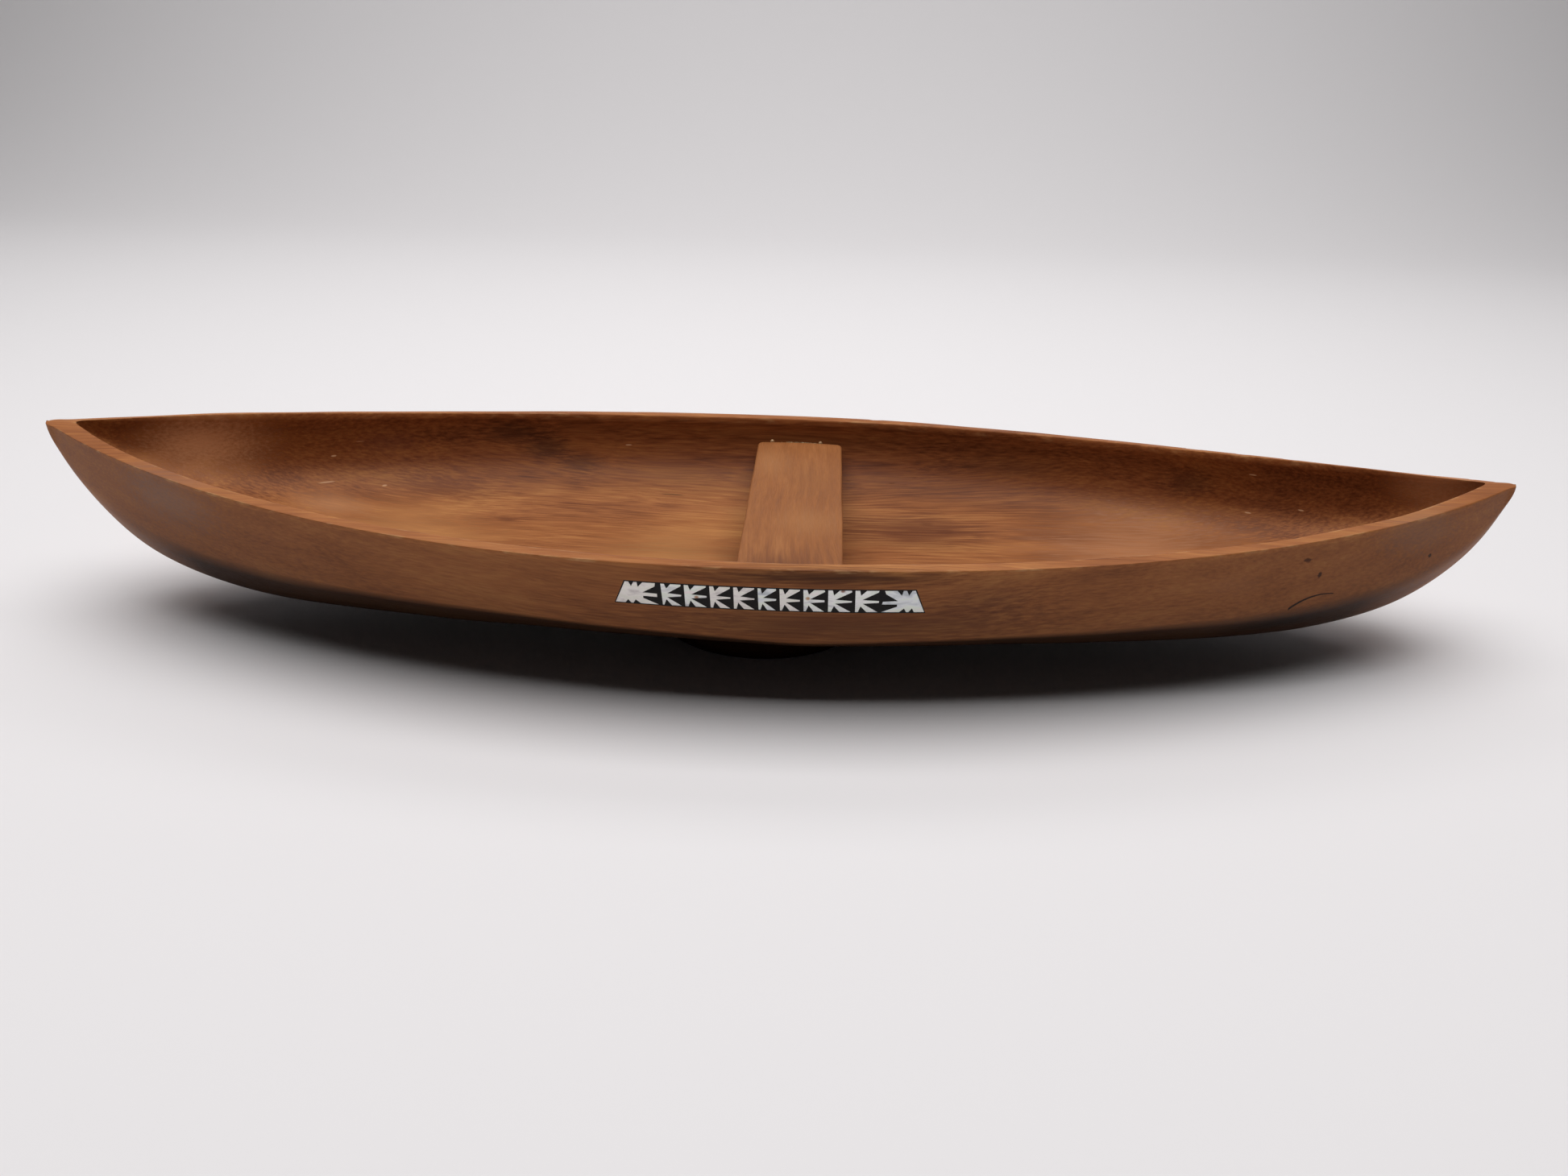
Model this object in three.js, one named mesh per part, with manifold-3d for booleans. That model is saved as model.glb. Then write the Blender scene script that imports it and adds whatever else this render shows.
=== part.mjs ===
// Carved wooden bowl in the form of a canoe: one hollowed block with an oval foot, a flat thwart glued
// across it, and on each long wall a band of shell pieces bedded in dark putty.
// Millimetres, +Z up, +X along the boat, origin on the ground under the middle of the bowl.
import * as THREE from "three";
import { mergeVertices } from "three/addons/utils/BufferGeometryUtils.js";
import Module from "manifold-3d";

const wasm = await Module();
wasm.setup();

// ---- Driving dimensions ----
const HALF_LENGTH = 200;
const HALF_BEAM = 60.5;
const RIM_HEIGHT = 43; // rim above the ground, amidships
const FOOT_HEIGHT = 3; // keel above the ground
const RIM_WIDTH = 4.3; // measured square to the rim
const RIM_TIP_NARROWING = 0.45; // share of the rim width that is lost at the tips
const RIM_RISE = 0.4; // inner rim edge above the outer one, amidships
const RIM_TIP_RISE = 0.9; // and what is added to that towards the tips, where the rim slopes outwards
const PLAN_ROUNDNESS = 0.915;

// The two ends differ a little, as a hand-carved hull does. All powers act on the share of the half-length.
const LEFT_END = {
  sheer: 10,
  sheerPower: 2.5,
  planPower: 2.25,
  stemPower: 8,
  stemRound: 0.756,
  bilgeFlare: -0.08,
  bilgeEase: [-0.35, 0.455],
};
const RIGHT_END = {
  sheer: 5.9,
  sheerPower: 4.3,
  planPower: 1.95,
  stemPower: 7.4,
  stemRound: 0.66,
  bilgeFlare: 0.21,
  bilgeEase: [-0.257, 0.266],
};

// Outside: a leaning wall down to the bilge edge, then a rounded underside to the keel.
const BILGE_BREADTH = 0.873; // bilge half-breadth as a share of the rim half-breadth, amidships
const BILGE_DROP = 0.575; // bilge depth as a share of the hull depth, amidships
const BILGE_PEAK = 0.042; // where along the half-length the bilge is lowest
const BILGE_PEAK_SOFTNESS = 0.03;
const WALL_FULLNESS = 0.8; // below 1 the wall swells outwards a little
const UNDERSIDE_POWER = 1.97;

// Inside: a rounded trough.
const HOLLOW_DEPTH = 24.5;
const HOLLOW_REACH = 0.957; // how far the hollow runs towards each tip
const HOLLOW_RUN_POWER = 8; // high: the trough keeps its depth until close to the tips
const HOLLOW_RUN_ROUND = 0.75;
const HOLLOW_END_POWER = 36; // how bluntly the hollow ends in plan
const HOLLOW_BREADTH_POWER = 3.4;
const HOLLOW_DEPTH_POWER = 2.4;

const FOOT = { x: -3.8, halfLength: 28, halfBreadth: 24.6, chamfer: 0.8, flare: 1.2, top: 8 };

const THWART = {
  x: 4.9,
  halfWidth: 13.2,
  top: RIM_HEIGHT - 6.4,
  thickness: 4.5,
  halfSpanTop: 53.3,
  halfSpanBottom: 52.2,
  cornerRadius: 1.8,
  skew: 0.015,
};
const GLUE = { halfWidth: 9, gap: 0.3, thickness: 0.65, height: 2.6, taper: 0.35, drop: 0.2 };

// The inlay band hangs at a fixed drop below the rim; its ends slant outwards towards the bottom.
const BAND = { dropTop: 5.2, dropBottom: 12.3, height: 7.4, halfTop: 34.2, halfBottom: 36.9 };
const POCKET_DEPTH = 1.9;
const POCKET_PROUD = 1.5; // how far the pocket cutter stands outside the wall
const PUTTY = { clearance: 0.3, back: -1.6, front: -0.95 };
const SHELL = { back: -0.65, front: 0, margin: 0.35 };
const BAND_GAP = 0.65; // putty showing between neighbouring shell pieces
const END_PIECE_WIDTH = 10.3;
const RAY_PIECE_SHARES = [5.0, 5.5, 5.1, 5.2, 4.6, 5.1, 5.3, 5.9, 5.9]; // relative widths, left to right

// ---- Mesh fineness ----
const STATIONS = 44;
const WALL_STEPS = 4;
const UNDERSIDE_STEPS = 9;
const HOLLOW_STEPS = 22;
const FOOT_SIDES = 48;
const BAND_STEPS = 14;
const LEAST_RIDGE_SHARE = 0.3; // near a tip the flat top keeps this share of the breadth
const LID_HEIGHT = 6; // how far the hollow's cutter stands above the rim
const LEAST_HALF_BREADTH = 0.4; // the cutter closes where the hollow gets narrower than this
const END_STEP = 0.003; // and ends in a point this share of the half-length further on

// ---- Materials ----
const paint = (color, roughness) => new THREE.MeshStandardMaterial({ color, roughness, metalness: 0 });
const HULL_WOOD = paint(0x8a5a36, 0.5);
const THWART_WOOD = paint(0xa5693c, 0.5);
const PUTTY_BLACK = paint(0x221d1c, 0.6);
const SHELL_WHITE = paint(0xd9dad6, 0.3);
const GLUE_CLEAR = paint(0xb08a58, 0.3);

// ---- The hull's lines, as functions of s = x / HALF_LENGTH ----
const endOf = (s) => (s < 0 ? LEFT_END : RIGHT_END);
const share = (s) => Math.min(Math.abs(s), 1);
const tipHeight = (s) => RIM_HEIGHT + endOf(s).sheer;

function rimHalfBreadth(s) {
  return HALF_BEAM * (1 - share(s) ** endOf(s).planPower) ** PLAN_ROUNDNESS;
}

function rimHeight(s) {
  return RIM_HEIGHT + endOf(s).sheer * share(s) ** endOf(s).sheerPower;
}

function keelHeight(s) {
  const { stemPower, stemRound } = endOf(s);
  return tipHeight(s) - (tipHeight(s) - FOOT_HEIGHT) * (1 - share(s) ** stemPower) ** stemRound;
}

function bilge(s) {
  const away = Math.hypot(s - BILGE_PEAK, BILGE_PEAK_SOFTNESS) - BILGE_PEAK_SOFTNESS;
  const [linear, square] = endOf(s - BILGE_PEAK).bilgeEase;
  const drop = BILGE_DROP + linear * away + square * away ** 2;
  return {
    y: rimHalfBreadth(s) * (BILGE_BREADTH + endOf(s).bilgeFlare * share(s) ** 2),
    z: rimHeight(s) - drop * (rimHeight(s) - keelHeight(s)),
  };
}

// A point of the outer wall; up runs from 0 at the bilge to 1 at the rim.
function wallSection(s, up) {
  const low = bilge(s);
  return {
    y: low.y + (rimHalfBreadth(s) - low.y) * up ** WALL_FULLNESS,
    z: low.z + (rimHeight(s) - low.z) * up,
  };
}

// A point of the underside; out runs from 0 at the keel to 1 at the bilge.
function undersideSection(s, out) {
  const low = bilge(s);
  return { y: low.y * out, z: keelHeight(s) + (low.z - keelHeight(s)) * out ** UNDERSIDE_POWER };
}

// The height of the inner rim edge, and of the ridge between the hollow's end and the tip.
function lipHeight(s) {
  const fade = Math.min((1 - share(s)) / (1 - HOLLOW_REACH), 1);
  return rimHeight(s) + (RIM_RISE + RIM_TIP_RISE * share(s) ** 3) * fade;
}

function innerHalfBreadth(s) {
  const step = 1e-4;
  const slope = (rimHalfBreadth(s + step) - rimHalfBreadth(s - step)) / (2 * step * HALF_LENGTH);
  const width = RIM_WIDTH * (1 - RIM_TIP_NARROWING * share(s) ** 2);
  const end = Math.sqrt(Math.max(1 - (share(s) / HOLLOW_REACH) ** HOLLOW_END_POWER, 0));
  return Math.max(rimHalfBreadth(s) - width * Math.hypot(1, slope), 0) * end;
}

// A point of the hollow; turn runs from -1 at the right-hand wall (-Y), over 0 at the floor, to 1.
function hollowSection(s, turn) {
  const depth = HOLLOW_DEPTH * (1 - (share(s) / HOLLOW_REACH) ** HOLLOW_RUN_POWER) ** HOLLOW_RUN_ROUND;
  const angle = (Math.abs(turn) * Math.PI) / 2;
  const fall = depth + lipHeight(s) - rimHeight(s);
  return {
    y: Math.sign(turn) * innerHalfBreadth(s) * Math.sin(angle) ** (2 / HOLLOW_BREADTH_POWER),
    z: lipHeight(s) - fall * Math.cos(angle) ** (2 / HOLLOW_DEPTH_POWER),
  };
}

// ---- Mesh helpers ----
// Closes a stack of rings that all have the same number of points, with a point at each end.
function loft(firstPoint, rings, lastPoint) {
  const points = [firstPoint, ...rings.flat(), lastPoint];
  const count = rings[0].length;
  const last = points.length - 1;
  const index = [];
  for (let j = 0; j < count; j++) {
    const k = (j + 1) % count;
    index.push(0, 1 + k, 1 + j);
    for (let i = 0; i + 1 < rings.length; i++) {
      const a = 1 + i * count;
      const b = a + count;
      index.push(a + j, b + k, b + j, a + j, a + k, b + k);
    }
    const end = last - count;
    index.push(last, end + j, end + k);
  }
  return meshGeometry(points.flat(), index);
}

function meshGeometry(coordinates, index) {
  const geometry = new THREE.BufferGeometry();
  geometry.setAttribute("position", new THREE.Float32BufferAttribute(coordinates, 3));
  geometry.setIndex(index);
  return geometry;
}

function solid(geometry) {
  const plain = geometry.clone();
  plain.deleteAttribute("normal");
  plain.deleteAttribute("uv");
  const merged = mergeVertices(plain, 1e-4);
  const vertProperties = new Float32Array(merged.attributes.position.array);
  const triVerts = new Uint32Array(merged.index.array);
  return new wasm.Manifold(new wasm.Mesh({ numProp: 3, vertProperties, triVerts }));
}

function fromSolid(body) {
  const mesh = body.getMesh();
  return meshGeometry(Array.from(mesh.vertProperties), Array.from(mesh.triVerts));
}

function part(name, geometry, material) {
  geometry.computeVertexNormals();
  const mesh = new THREE.Mesh(geometry, material);
  mesh.name = name;
  return mesh;
}

// Stations bunched towards the tips, where the lines curve most.
function stations(reach) {
  const list = [];
  for (let i = 1; i < STATIONS; i++) list.push(reach * -Math.cos((Math.PI * i) / STATIONS));
  return list;
}

// ---- Hull ----
// Half a section outside, from the keel outwards and up to the outer rim edge.
function outsideHalf(s) {
  const half = [];
  for (let i = 1; i <= UNDERSIDE_STEPS; i++) half.push(undersideSection(s, i / UNDERSIDE_STEPS));
  for (let i = 1; i <= WALL_STEPS; i++) half.push(wallSection(s, i / WALL_STEPS));
  return half;
}

function outsideRing(s) {
  const half = outsideHalf(s);
  const top = { y: 0, z: lipHeight(s) };
  const inner = { y: Math.max(innerHalfBreadth(s), LEAST_RIDGE_SHARE * rimHalfBreadth(s)), z: top.z };
  const right = [...half, inner].map(({ y, z }) => [s * HALF_LENGTH, -y, z]);
  const left = [...half, inner].map(({ y, z }) => [s * HALF_LENGTH, y, z]);
  const keel = [s * HALF_LENGTH, 0, keelHeight(s)];
  return [keel, ...left, [s * HALF_LENGTH, 0, top.z], ...right.reverse()];
}

// The cutter for the hollow: the trough, closed by a lid well above the rim.
function hollowRing(s) {
  const trough = [];
  for (let i = 0; i <= HOLLOW_STEPS; i++) trough.push(hollowSection(s, (2 * i) / HOLLOW_STEPS - 1));
  const edge = trough[trough.length - 1];
  const lid = [
    { y: edge.y, z: edge.z + LID_HEIGHT },
    { y: -edge.y, z: edge.z + LID_HEIGHT },
  ];
  return [...trough, ...lid].map(({ y, z }) => [s * HALF_LENGTH, y, z]);
}

function outsideSolid() {
  const tip = (side) => [side * HALF_LENGTH, 0, tipHeight(side)];
  return solid(loft(tip(-1), stations(1).map(outsideRing), tip(1)));
}

function hollowSolid() {
  const rings = stations(HOLLOW_REACH).filter((s) => innerHalfBreadth(s) > LEAST_HALF_BREADTH);
  const first = rings[0];
  const last = rings[rings.length - 1];
  const end = (s) => [(s + Math.sign(s) * END_STEP) * HALF_LENGTH, 0, rimHeight(s) + LID_HEIGHT / 2];
  return solid(loft(end(first), rings.map(hollowRing), end(last)));
}

function footSolid() {
  const { halfLength, halfBreadth, chamfer, flare, top } = FOOT;
  const profile = [
    new THREE.Vector2(0, 0),
    new THREE.Vector2(halfBreadth - chamfer, 0),
    new THREE.Vector2(halfBreadth, chamfer),
    new THREE.Vector2(halfBreadth + flare, top),
    new THREE.Vector2(0, top),
  ];
  const foot = new THREE.LatheGeometry(profile, FOOT_SIDES);
  foot.rotateX(Math.PI / 2);
  foot.scale(halfLength / halfBreadth, 1, 1);
  foot.translate(FOOT.x, 0, 0);
  return solid(foot);
}

// ---- Laying shapes on the wall ----
// Maps (along, up the band, outwards from the wall) to the -Y wall for side -1, the +Y wall for side 1.
function layOnWall(geometry, side) {
  const flat = geometry.clone();
  const place = flat.attributes.position;
  const mid = bilge(0);
  const lean = Math.atan2(HALF_BEAM - mid.y, RIM_HEIGHT - mid.z);
  for (let i = 0; i < place.count; i++) {
    const s = (-side * place.getX(i)) / HALF_LENGTH;
    const drop = BAND.dropBottom - (place.getY(i) / BAND.height) * (BAND.dropBottom - BAND.dropTop);
    const point = wallSection(s, 1 - drop / (rimHeight(s) - bilge(s).z));
    const out = place.getZ(i);
    place.setXYZ(i, s * HALF_LENGTH, side * (point.y + out * Math.cos(lean)), point.z - out * Math.sin(lean));
  }
  return flat;
}

// Half the band's length at a height up the band.
function bandHalf(up) {
  return BAND.halfBottom + (BAND.halfTop - BAND.halfBottom) * (up / BAND.height);
}

// A slab with the band's slanted ends, inset by a clearance, between two distances from the wall.
function bandSlab(side, inset, back, front) {
  const box = new THREE.BoxGeometry(2, BAND.height - 2 * inset, front - back, BAND_STEPS, 2, 1);
  box.translate(0, BAND.height / 2, (front + back) / 2);
  const place = box.attributes.position;
  for (let i = 0; i < place.count; i++) {
    place.setX(i, place.getX(i) * (bandHalf(place.getY(i)) - inset));
  }
  return layOnWall(box, side);
}

function hullGeometry() {
  const front = solid(bandSlab(-1, 0, -POCKET_DEPTH, POCKET_PROUD));
  const back = solid(bandSlab(1, 0, -POCKET_DEPTH, POCKET_PROUD));
  const body = outsideSolid().add(footSolid()).subtract(hollowSolid());
  return fromSolid(body.subtract(front).subtract(back));
}

// ---- Shell pieces, drawn in a box 1 wide and 1 high ----
// A bar on the left with three rays to the right, parted by pointed notches.
const RAY_PIECE = [
  [0.05, 0.0], [0.16, 0.0], [0.26, 0.28], [0.5, 0.0], [0.98, 0.0], [0.32, 0.39], [1.0, 0.45],
  [1.0, 0.53], [0.32, 0.58], [0.98, 0.94], [0.98, 1.0], [0.48, 1.0], [0.26, 0.77], [0.18, 1.0], [0.0, 1.0],
];
// A slanted outer edge, two small teeth above and below, and three rays to the right.
const END_PIECE = [
  [0.0, 0.0], [0.23, 0.0], [0.3, 0.17], [0.36, 0.0], [0.42, 0.0], [0.475, 0.17], [0.585, 0.0], [1.0, 0.0],
  [0.64, 0.27], [0.64, 0.35], [0.98, 0.37], [0.98, 0.5], [0.64, 0.52], [0.92, 0.84], [0.94, 1.0],
  [0.66, 1.0], [0.55, 0.77], [0.52, 1.0], [0.44, 1.0], [0.385, 0.79], [0.33, 1.0],
];

function shellGeometry(outline, width, left, side, mirrored) {
  const tall = BAND.height - 2 * SHELL.margin;
  const slant = (up) => bandHalf(up) - bandHalf(0);
  const points = outline.map(([u, v]) => {
    const along = mirrored ? left + width * (1 - u) : left + width * u;
    return new THREE.Vector2(along, SHELL.margin + v * tall);
  });
  if (outline === END_PIECE) {
    const outerTop = new THREE.Vector2(0, SHELL.margin + tall);
    outerTop.x = mirrored ? left + width + slant(outerTop.y) : left - slant(outerTop.y);
    points.push(outerTop);
  }
  const shape = new THREE.Shape(points);
  const plate = new THREE.ExtrudeGeometry(shape, { depth: SHELL.front - SHELL.back, bevelEnabled: false });
  plate.translate(0, 0, SHELL.back);
  return layOnWall(plate, side);
}

// The eleven pieces of one band, from the viewer's left to right when facing that wall.
function bandPieces(side, label) {
  const endLeft = -BAND.halfBottom + SHELL.margin;
  const endRight = BAND.halfBottom - SHELL.margin - END_PIECE_WIDTH;
  const total = RAY_PIECE_SHARES.reduce((sum, value) => sum + value, 0);
  const room = endRight - (endLeft + END_PIECE_WIDTH) - BAND_GAP * (RAY_PIECE_SHARES.length + 1);
  const layout = [[END_PIECE, END_PIECE_WIDTH, endLeft, false]];
  let left = endLeft + END_PIECE_WIDTH + BAND_GAP;
  for (const value of RAY_PIECE_SHARES) {
    const width = (room * value) / total;
    layout.push([RAY_PIECE, width, left, false]);
    left += width + BAND_GAP;
  }
  layout.push([END_PIECE, END_PIECE_WIDTH, endRight, true]);
  return layout.map(([outline, width, start, mirrored], i) => {
    const name = `shell_${label}_${String(i + 1).padStart(2, "0")}`;
    return part(name, shellGeometry(outline, width, start, side, mirrored), SHELL_WHITE);
  });
}

// ---- Thwart and its glue ----
function roundedPlank() {
  const { halfWidth, halfSpanTop, cornerRadius: r } = THWART;
  const plan = new THREE.Shape();
  plan.moveTo(-halfWidth + r, -halfSpanTop);
  plan.lineTo(halfWidth - r, -halfSpanTop);
  plan.absarc(halfWidth - r, -halfSpanTop + r, r, -Math.PI / 2, 0, false);
  plan.lineTo(halfWidth, halfSpanTop - r);
  plan.absarc(halfWidth - r, halfSpanTop - r, r, 0, Math.PI / 2, false);
  plan.lineTo(-halfWidth + r, halfSpanTop);
  plan.absarc(-halfWidth + r, halfSpanTop - r, r, Math.PI / 2, Math.PI, false);
  plan.lineTo(-halfWidth, -halfSpanTop + r);
  plan.absarc(-halfWidth + r, -halfSpanTop + r, r, Math.PI, 1.5 * Math.PI, false);
  return new THREE.ExtrudeGeometry(plan, { depth: THWART.thickness, bevelEnabled: false, curveSegments: 4 });
}

function thwartGeometry() {
  const plank = roundedPlank();
  const place = plank.attributes.position;
  const taper = THWART.halfSpanBottom / THWART.halfSpanTop;
  for (let i = 0; i < place.count; i++) {
    const down = 1 - place.getZ(i) / THWART.thickness;
    place.setY(i, place.getY(i) * (1 + (taper - 1) * down));
  }
  plank.rotateZ(-THWART.skew);
  plank.translate(THWART.x, 0, THWART.top - THWART.thickness);
  return plank;
}

// A bead of dried glue behind one end of the thwart, leaning with the wall.
function glueGeometry(side) {
  const { halfWidth, gap, thickness, height, taper, drop } = GLUE;
  const bead = new THREE.BoxGeometry(2 * halfWidth, thickness, height, 4, 1, 1);
  const place = bead.attributes.position;
  for (let i = 0; i < place.count; i++) {
    const down = 0.5 - place.getZ(i) / height;
    const outer = place.getY(i) * side > 0;
    place.setY(i, place.getY(i) - (outer ? side * taper * down : 0));
  }
  const reach = THWART.halfSpanTop + gap + thickness / 2;
  bead.translate(THWART.x + side * THWART.skew * reach, side * reach, THWART.top - drop - height / 2);
  return bead;
}

// ---- Assembly ----
const bowl = new THREE.Group();
bowl.name = "carved_wooden_bowl";
bowl.add(part("hull", hullGeometry(), HULL_WOOD));
bowl.add(part("thwart", thwartGeometry(), THWART_WOOD));
for (const [label, side] of [["front", -1], ["back", 1]]) {
  bowl.add(part(`thwart_glue_${label}`, glueGeometry(side), GLUE_CLEAR));
  bowl.add(part(`putty_${label}`, bandSlab(side, PUTTY.clearance, PUTTY.back, PUTTY.front), PUTTY_BLACK));
  for (const piece of bandPieces(side, label)) bowl.add(piece);
}

export default bowl;
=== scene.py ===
"""Carved wooden canoe bowl: the visible pieces, their finishes, and the studio round them.

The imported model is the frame.  Every piece is built in metres in that frame, rides on its body and stands for
the plain nodes it replaces.  Sizes are in millimetres until a mesh is made.
"""

from __future__ import annotations

import logging
import math
import random
from dataclasses import dataclass, field
from enum import Enum
from typing import Any, Mapping, NamedTuple, Sequence

import bmesh
import bpy
from mathutils import Matrix, Vector, noise

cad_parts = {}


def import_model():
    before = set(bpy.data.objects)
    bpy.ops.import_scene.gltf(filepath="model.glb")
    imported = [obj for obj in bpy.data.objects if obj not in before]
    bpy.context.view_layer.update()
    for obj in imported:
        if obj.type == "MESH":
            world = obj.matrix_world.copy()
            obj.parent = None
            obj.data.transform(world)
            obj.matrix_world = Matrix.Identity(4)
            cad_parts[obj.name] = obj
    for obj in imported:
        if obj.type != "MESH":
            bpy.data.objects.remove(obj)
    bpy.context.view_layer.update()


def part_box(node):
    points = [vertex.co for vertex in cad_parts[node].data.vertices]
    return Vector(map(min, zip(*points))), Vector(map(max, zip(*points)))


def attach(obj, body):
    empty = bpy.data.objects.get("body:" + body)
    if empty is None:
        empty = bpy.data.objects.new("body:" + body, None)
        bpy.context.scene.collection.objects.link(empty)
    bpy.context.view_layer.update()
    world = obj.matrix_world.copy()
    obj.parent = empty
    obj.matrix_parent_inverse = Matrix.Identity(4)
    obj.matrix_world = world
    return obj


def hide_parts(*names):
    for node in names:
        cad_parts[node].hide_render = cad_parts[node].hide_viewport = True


LOG = logging.getLogger("canoe_bowl")
MM = 0.001
BODY = "root"
SHARP_ANGLE = math.radians(40.0)  # a piece's edges that are sharper than this stay crisp
WELD = 0.003  # points nearer than this are one
SPECK = 0.001  # and edges shorter than this are dropped
CHIP_SEED = Vector((7.3, 1.9, 4.1))
PATCH_SEED = Vector((3.1, 8.2, 0.4))

Point = tuple[float, ...]
Solid = bmesh.types.BMesh
Tree = bpy.types.NodeTree
Node = bpy.types.Node
Socket = bpy.types.NodeSocket


class Wall(Enum):
    """The two long walls, by the sign of their Y."""

    FRONT = -1
    BACK = 1

    @property
    def label(self) -> str:
        """The word that names this wall's nodes."""
        return self.name.lower()


class Grain(Enum):
    """The way a board's fibres run, as the turn about Z that lays them along X."""

    ALONG_X = 0.0
    ALONG_Y = math.pi / 2


class Slot(Enum):
    """Names of the material slots."""

    HULL = "hull_wood"
    THWART = "thwart_wood"
    PUTTY = "putty"
    SHELL = "shell"
    GLUE = "glue"


# ---- Small helpers ----


def clamp(value: float) -> float:
    """Keeps a share between 0 and 1."""
    return min(max(value, 0.0), 1.0)


def linear(colour: str) -> tuple[float, float, float, float]:
    """Turns an sRGB hex colour to linear light.

    Args:
        colour: six hex digits, such as "8a4f2a".

    Returns:
        Red, green, blue and an alpha of 1.
    """
    values = [int(colour[i : i + 2], 16) / 255 for i in (0, 2, 4)]
    red, green, blue = (v / 12.92 if v <= 0.04045 else ((v + 0.055) / 1.055) ** 2.4 for v in values)
    return red, green, blue, 1.0


def add_node(
    tree: Tree,
    kind: str,
    settings: Mapping[str, Any] | None = None,
    inputs: Mapping[int | str, Any] | None = None,
    stops: Sequence[tuple[float, str]] = (),
) -> Node:
    """Adds one node with its settings and links.

    Args:
        tree: the node tree.
        kind: the node's type name.
        settings: attributes to set on the node.
        inputs: socket name or number, with a value or another node's output.
        stops: for a colour ramp, its positions and hex colours.

    Returns:
        The new node.
    """
    node = tree.nodes.new(kind)
    for name, value in (settings or {}).items():
        setattr(node, name, value)
    for key, value in (inputs or {}).items():
        if isinstance(value, Socket):
            tree.links.new(value, node.inputs[key])
        else:
            node.inputs[key].default_value = value
    for i, (position, colour) in enumerate(stops):
        ramp = node.color_ramp.elements
        stop = ramp[i] if i < len(ramp) else ramp.new(position)
        stop.position, stop.color = position, linear(colour)
    return node


def number(tree: Tree, operation: str, *values: Socket | float) -> Socket:
    """The result of a maths node."""
    return add_node(tree, "ShaderNodeMath", {"operation": operation}, dict(enumerate(values))).outputs[0]


def vector(tree: Tree, operation: str, *values: Socket | Point) -> Socket:
    """The result of a vector maths node: a number for a length or distance, or else a vector."""
    node = add_node(tree, "ShaderNodeVectorMath", {"operation": operation}, dict(enumerate(values)))
    return node.outputs["Value" if operation in ("LENGTH", "DISTANCE") else "Vector"]


def remapped(tree: Tree, value: Socket, before: Point, after: Point, curve: str = "LINEAR") -> Socket:
    """A number taken from one range to another, and kept inside it."""
    inputs = {"Value": value, 1: before[0], 2: before[1], 3: after[0], 4: after[1]}
    return add_node(tree, "ShaderNodeMapRange", {"interpolation_type": curve}, inputs).outputs[0]


def mixed(tree: Tree, share: Socket, under: Socket, over: str, blend: str = "MIX") -> Socket:
    """A colour with a share of a hex colour over it."""
    settings = {"data_type": "RGBA", "blend_type": blend}
    return add_node(tree, "ShaderNodeMix", settings, {"Factor": share, 6: under, 7: linear(over)}).outputs[2]


def dimmed(tree: Tree, colour: Socket, share: Socket) -> Socket:
    """A colour times a number."""
    inputs = {0: colour, "Scale": share}
    return add_node(tree, "ShaderNodeVectorMath", {"operation": "SCALE"}, inputs).outputs[0]


def attribute(tree: Tree, name: str) -> Socket:
    """A number that the mesh carries; it is 0 on a mesh without it."""
    return add_node(tree, "ShaderNodeAttribute", {"attribute_name": name}).outputs["Fac"]


def in_sizes(tree: Tree, place: Socket, sizes: Point, turn: float = 0.0) -> Socket:
    """A place turned about Z, then counted in a pattern's sizes along X, Y and Z."""
    inputs = {"Vector": place, "Rotation": (0.0, 0.0, turn), "Scale": tuple(1 / size for size in sizes)}
    return add_node(tree, "ShaderNodeMapping", inputs=inputs).outputs[0]


def along_fibres(
    tree: Tree, place: Socket, size: tuple[float, float], detail: float, output: str = "Fac"
) -> Socket:
    """Soft noise drawn out along X.

    Args:
        tree: the node tree.
        place: where it is read, in mm.
        size: the pattern's length along X and its width across, in mm.
        detail: how many finer layers it has.
        output: Fac for a number, or Color for three.

    Returns:
        The noise.
    """
    length, width = size
    inputs = {"Vector": in_sizes(tree, place, (length, width, width)), "Detail": detail}
    inputs |= {"Scale": 1.0, "Roughness": 0.55}
    return add_node(tree, "ShaderNodeTexNoise", inputs=inputs).outputs[output]


def bumped(tree: Tree, shader: Node, height: Socket, strength: float, depth: float) -> None:
    """Gives a shader relief.

    Args:
        tree: the node tree.
        shader: the Principled BSDF.
        height: the relief, from 0 to 1.
        strength: how much of it the light feels.
        depth: how deep it is, in mm.
    """
    inputs = {"Strength": strength, "Distance": depth * MM, "Height": height}
    tree.links.new(add_node(tree, "ShaderNodeBump", inputs=inputs).outputs[0], shader.inputs["Normal"])


def new_material(name: str, values: Mapping[str, Any]) -> tuple[bpy.types.Material, Tree, Node]:
    """Makes a material with its shader.

    Args:
        name: the finish's name.
        values: the shader's even values.

    Returns:
        The material, its node tree and its Principled BSDF.
    """
    material = bpy.data.materials.new(name)
    material.use_nodes = True
    tree = material.node_tree
    tree.nodes.clear()
    shader = add_node(tree, "ShaderNodeBsdfPrincipled", inputs=values)
    add_node(tree, "ShaderNodeOutputMaterial", inputs={"Surface": shader.outputs[0]})
    return material, tree, shader


def add_object(name: str, data: bpy.types.ID) -> bpy.types.Object:
    """Puts a mesh, light or camera in the scene.

    Args:
        name: the object's name.
        data: what it shows.

    Returns:
        The new object, at the origin.
    """
    made = bpy.data.objects.new(name, data)
    bpy.context.scene.collection.objects.link(made)
    return made


def as_mesh(bm: Solid, name: str) -> bpy.types.Mesh:
    """Writes a bmesh, in metres, to a new mesh and frees it."""
    mesh = bpy.data.meshes.new(name)
    bm.to_mesh(mesh)
    bm.free()
    return mesh


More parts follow.
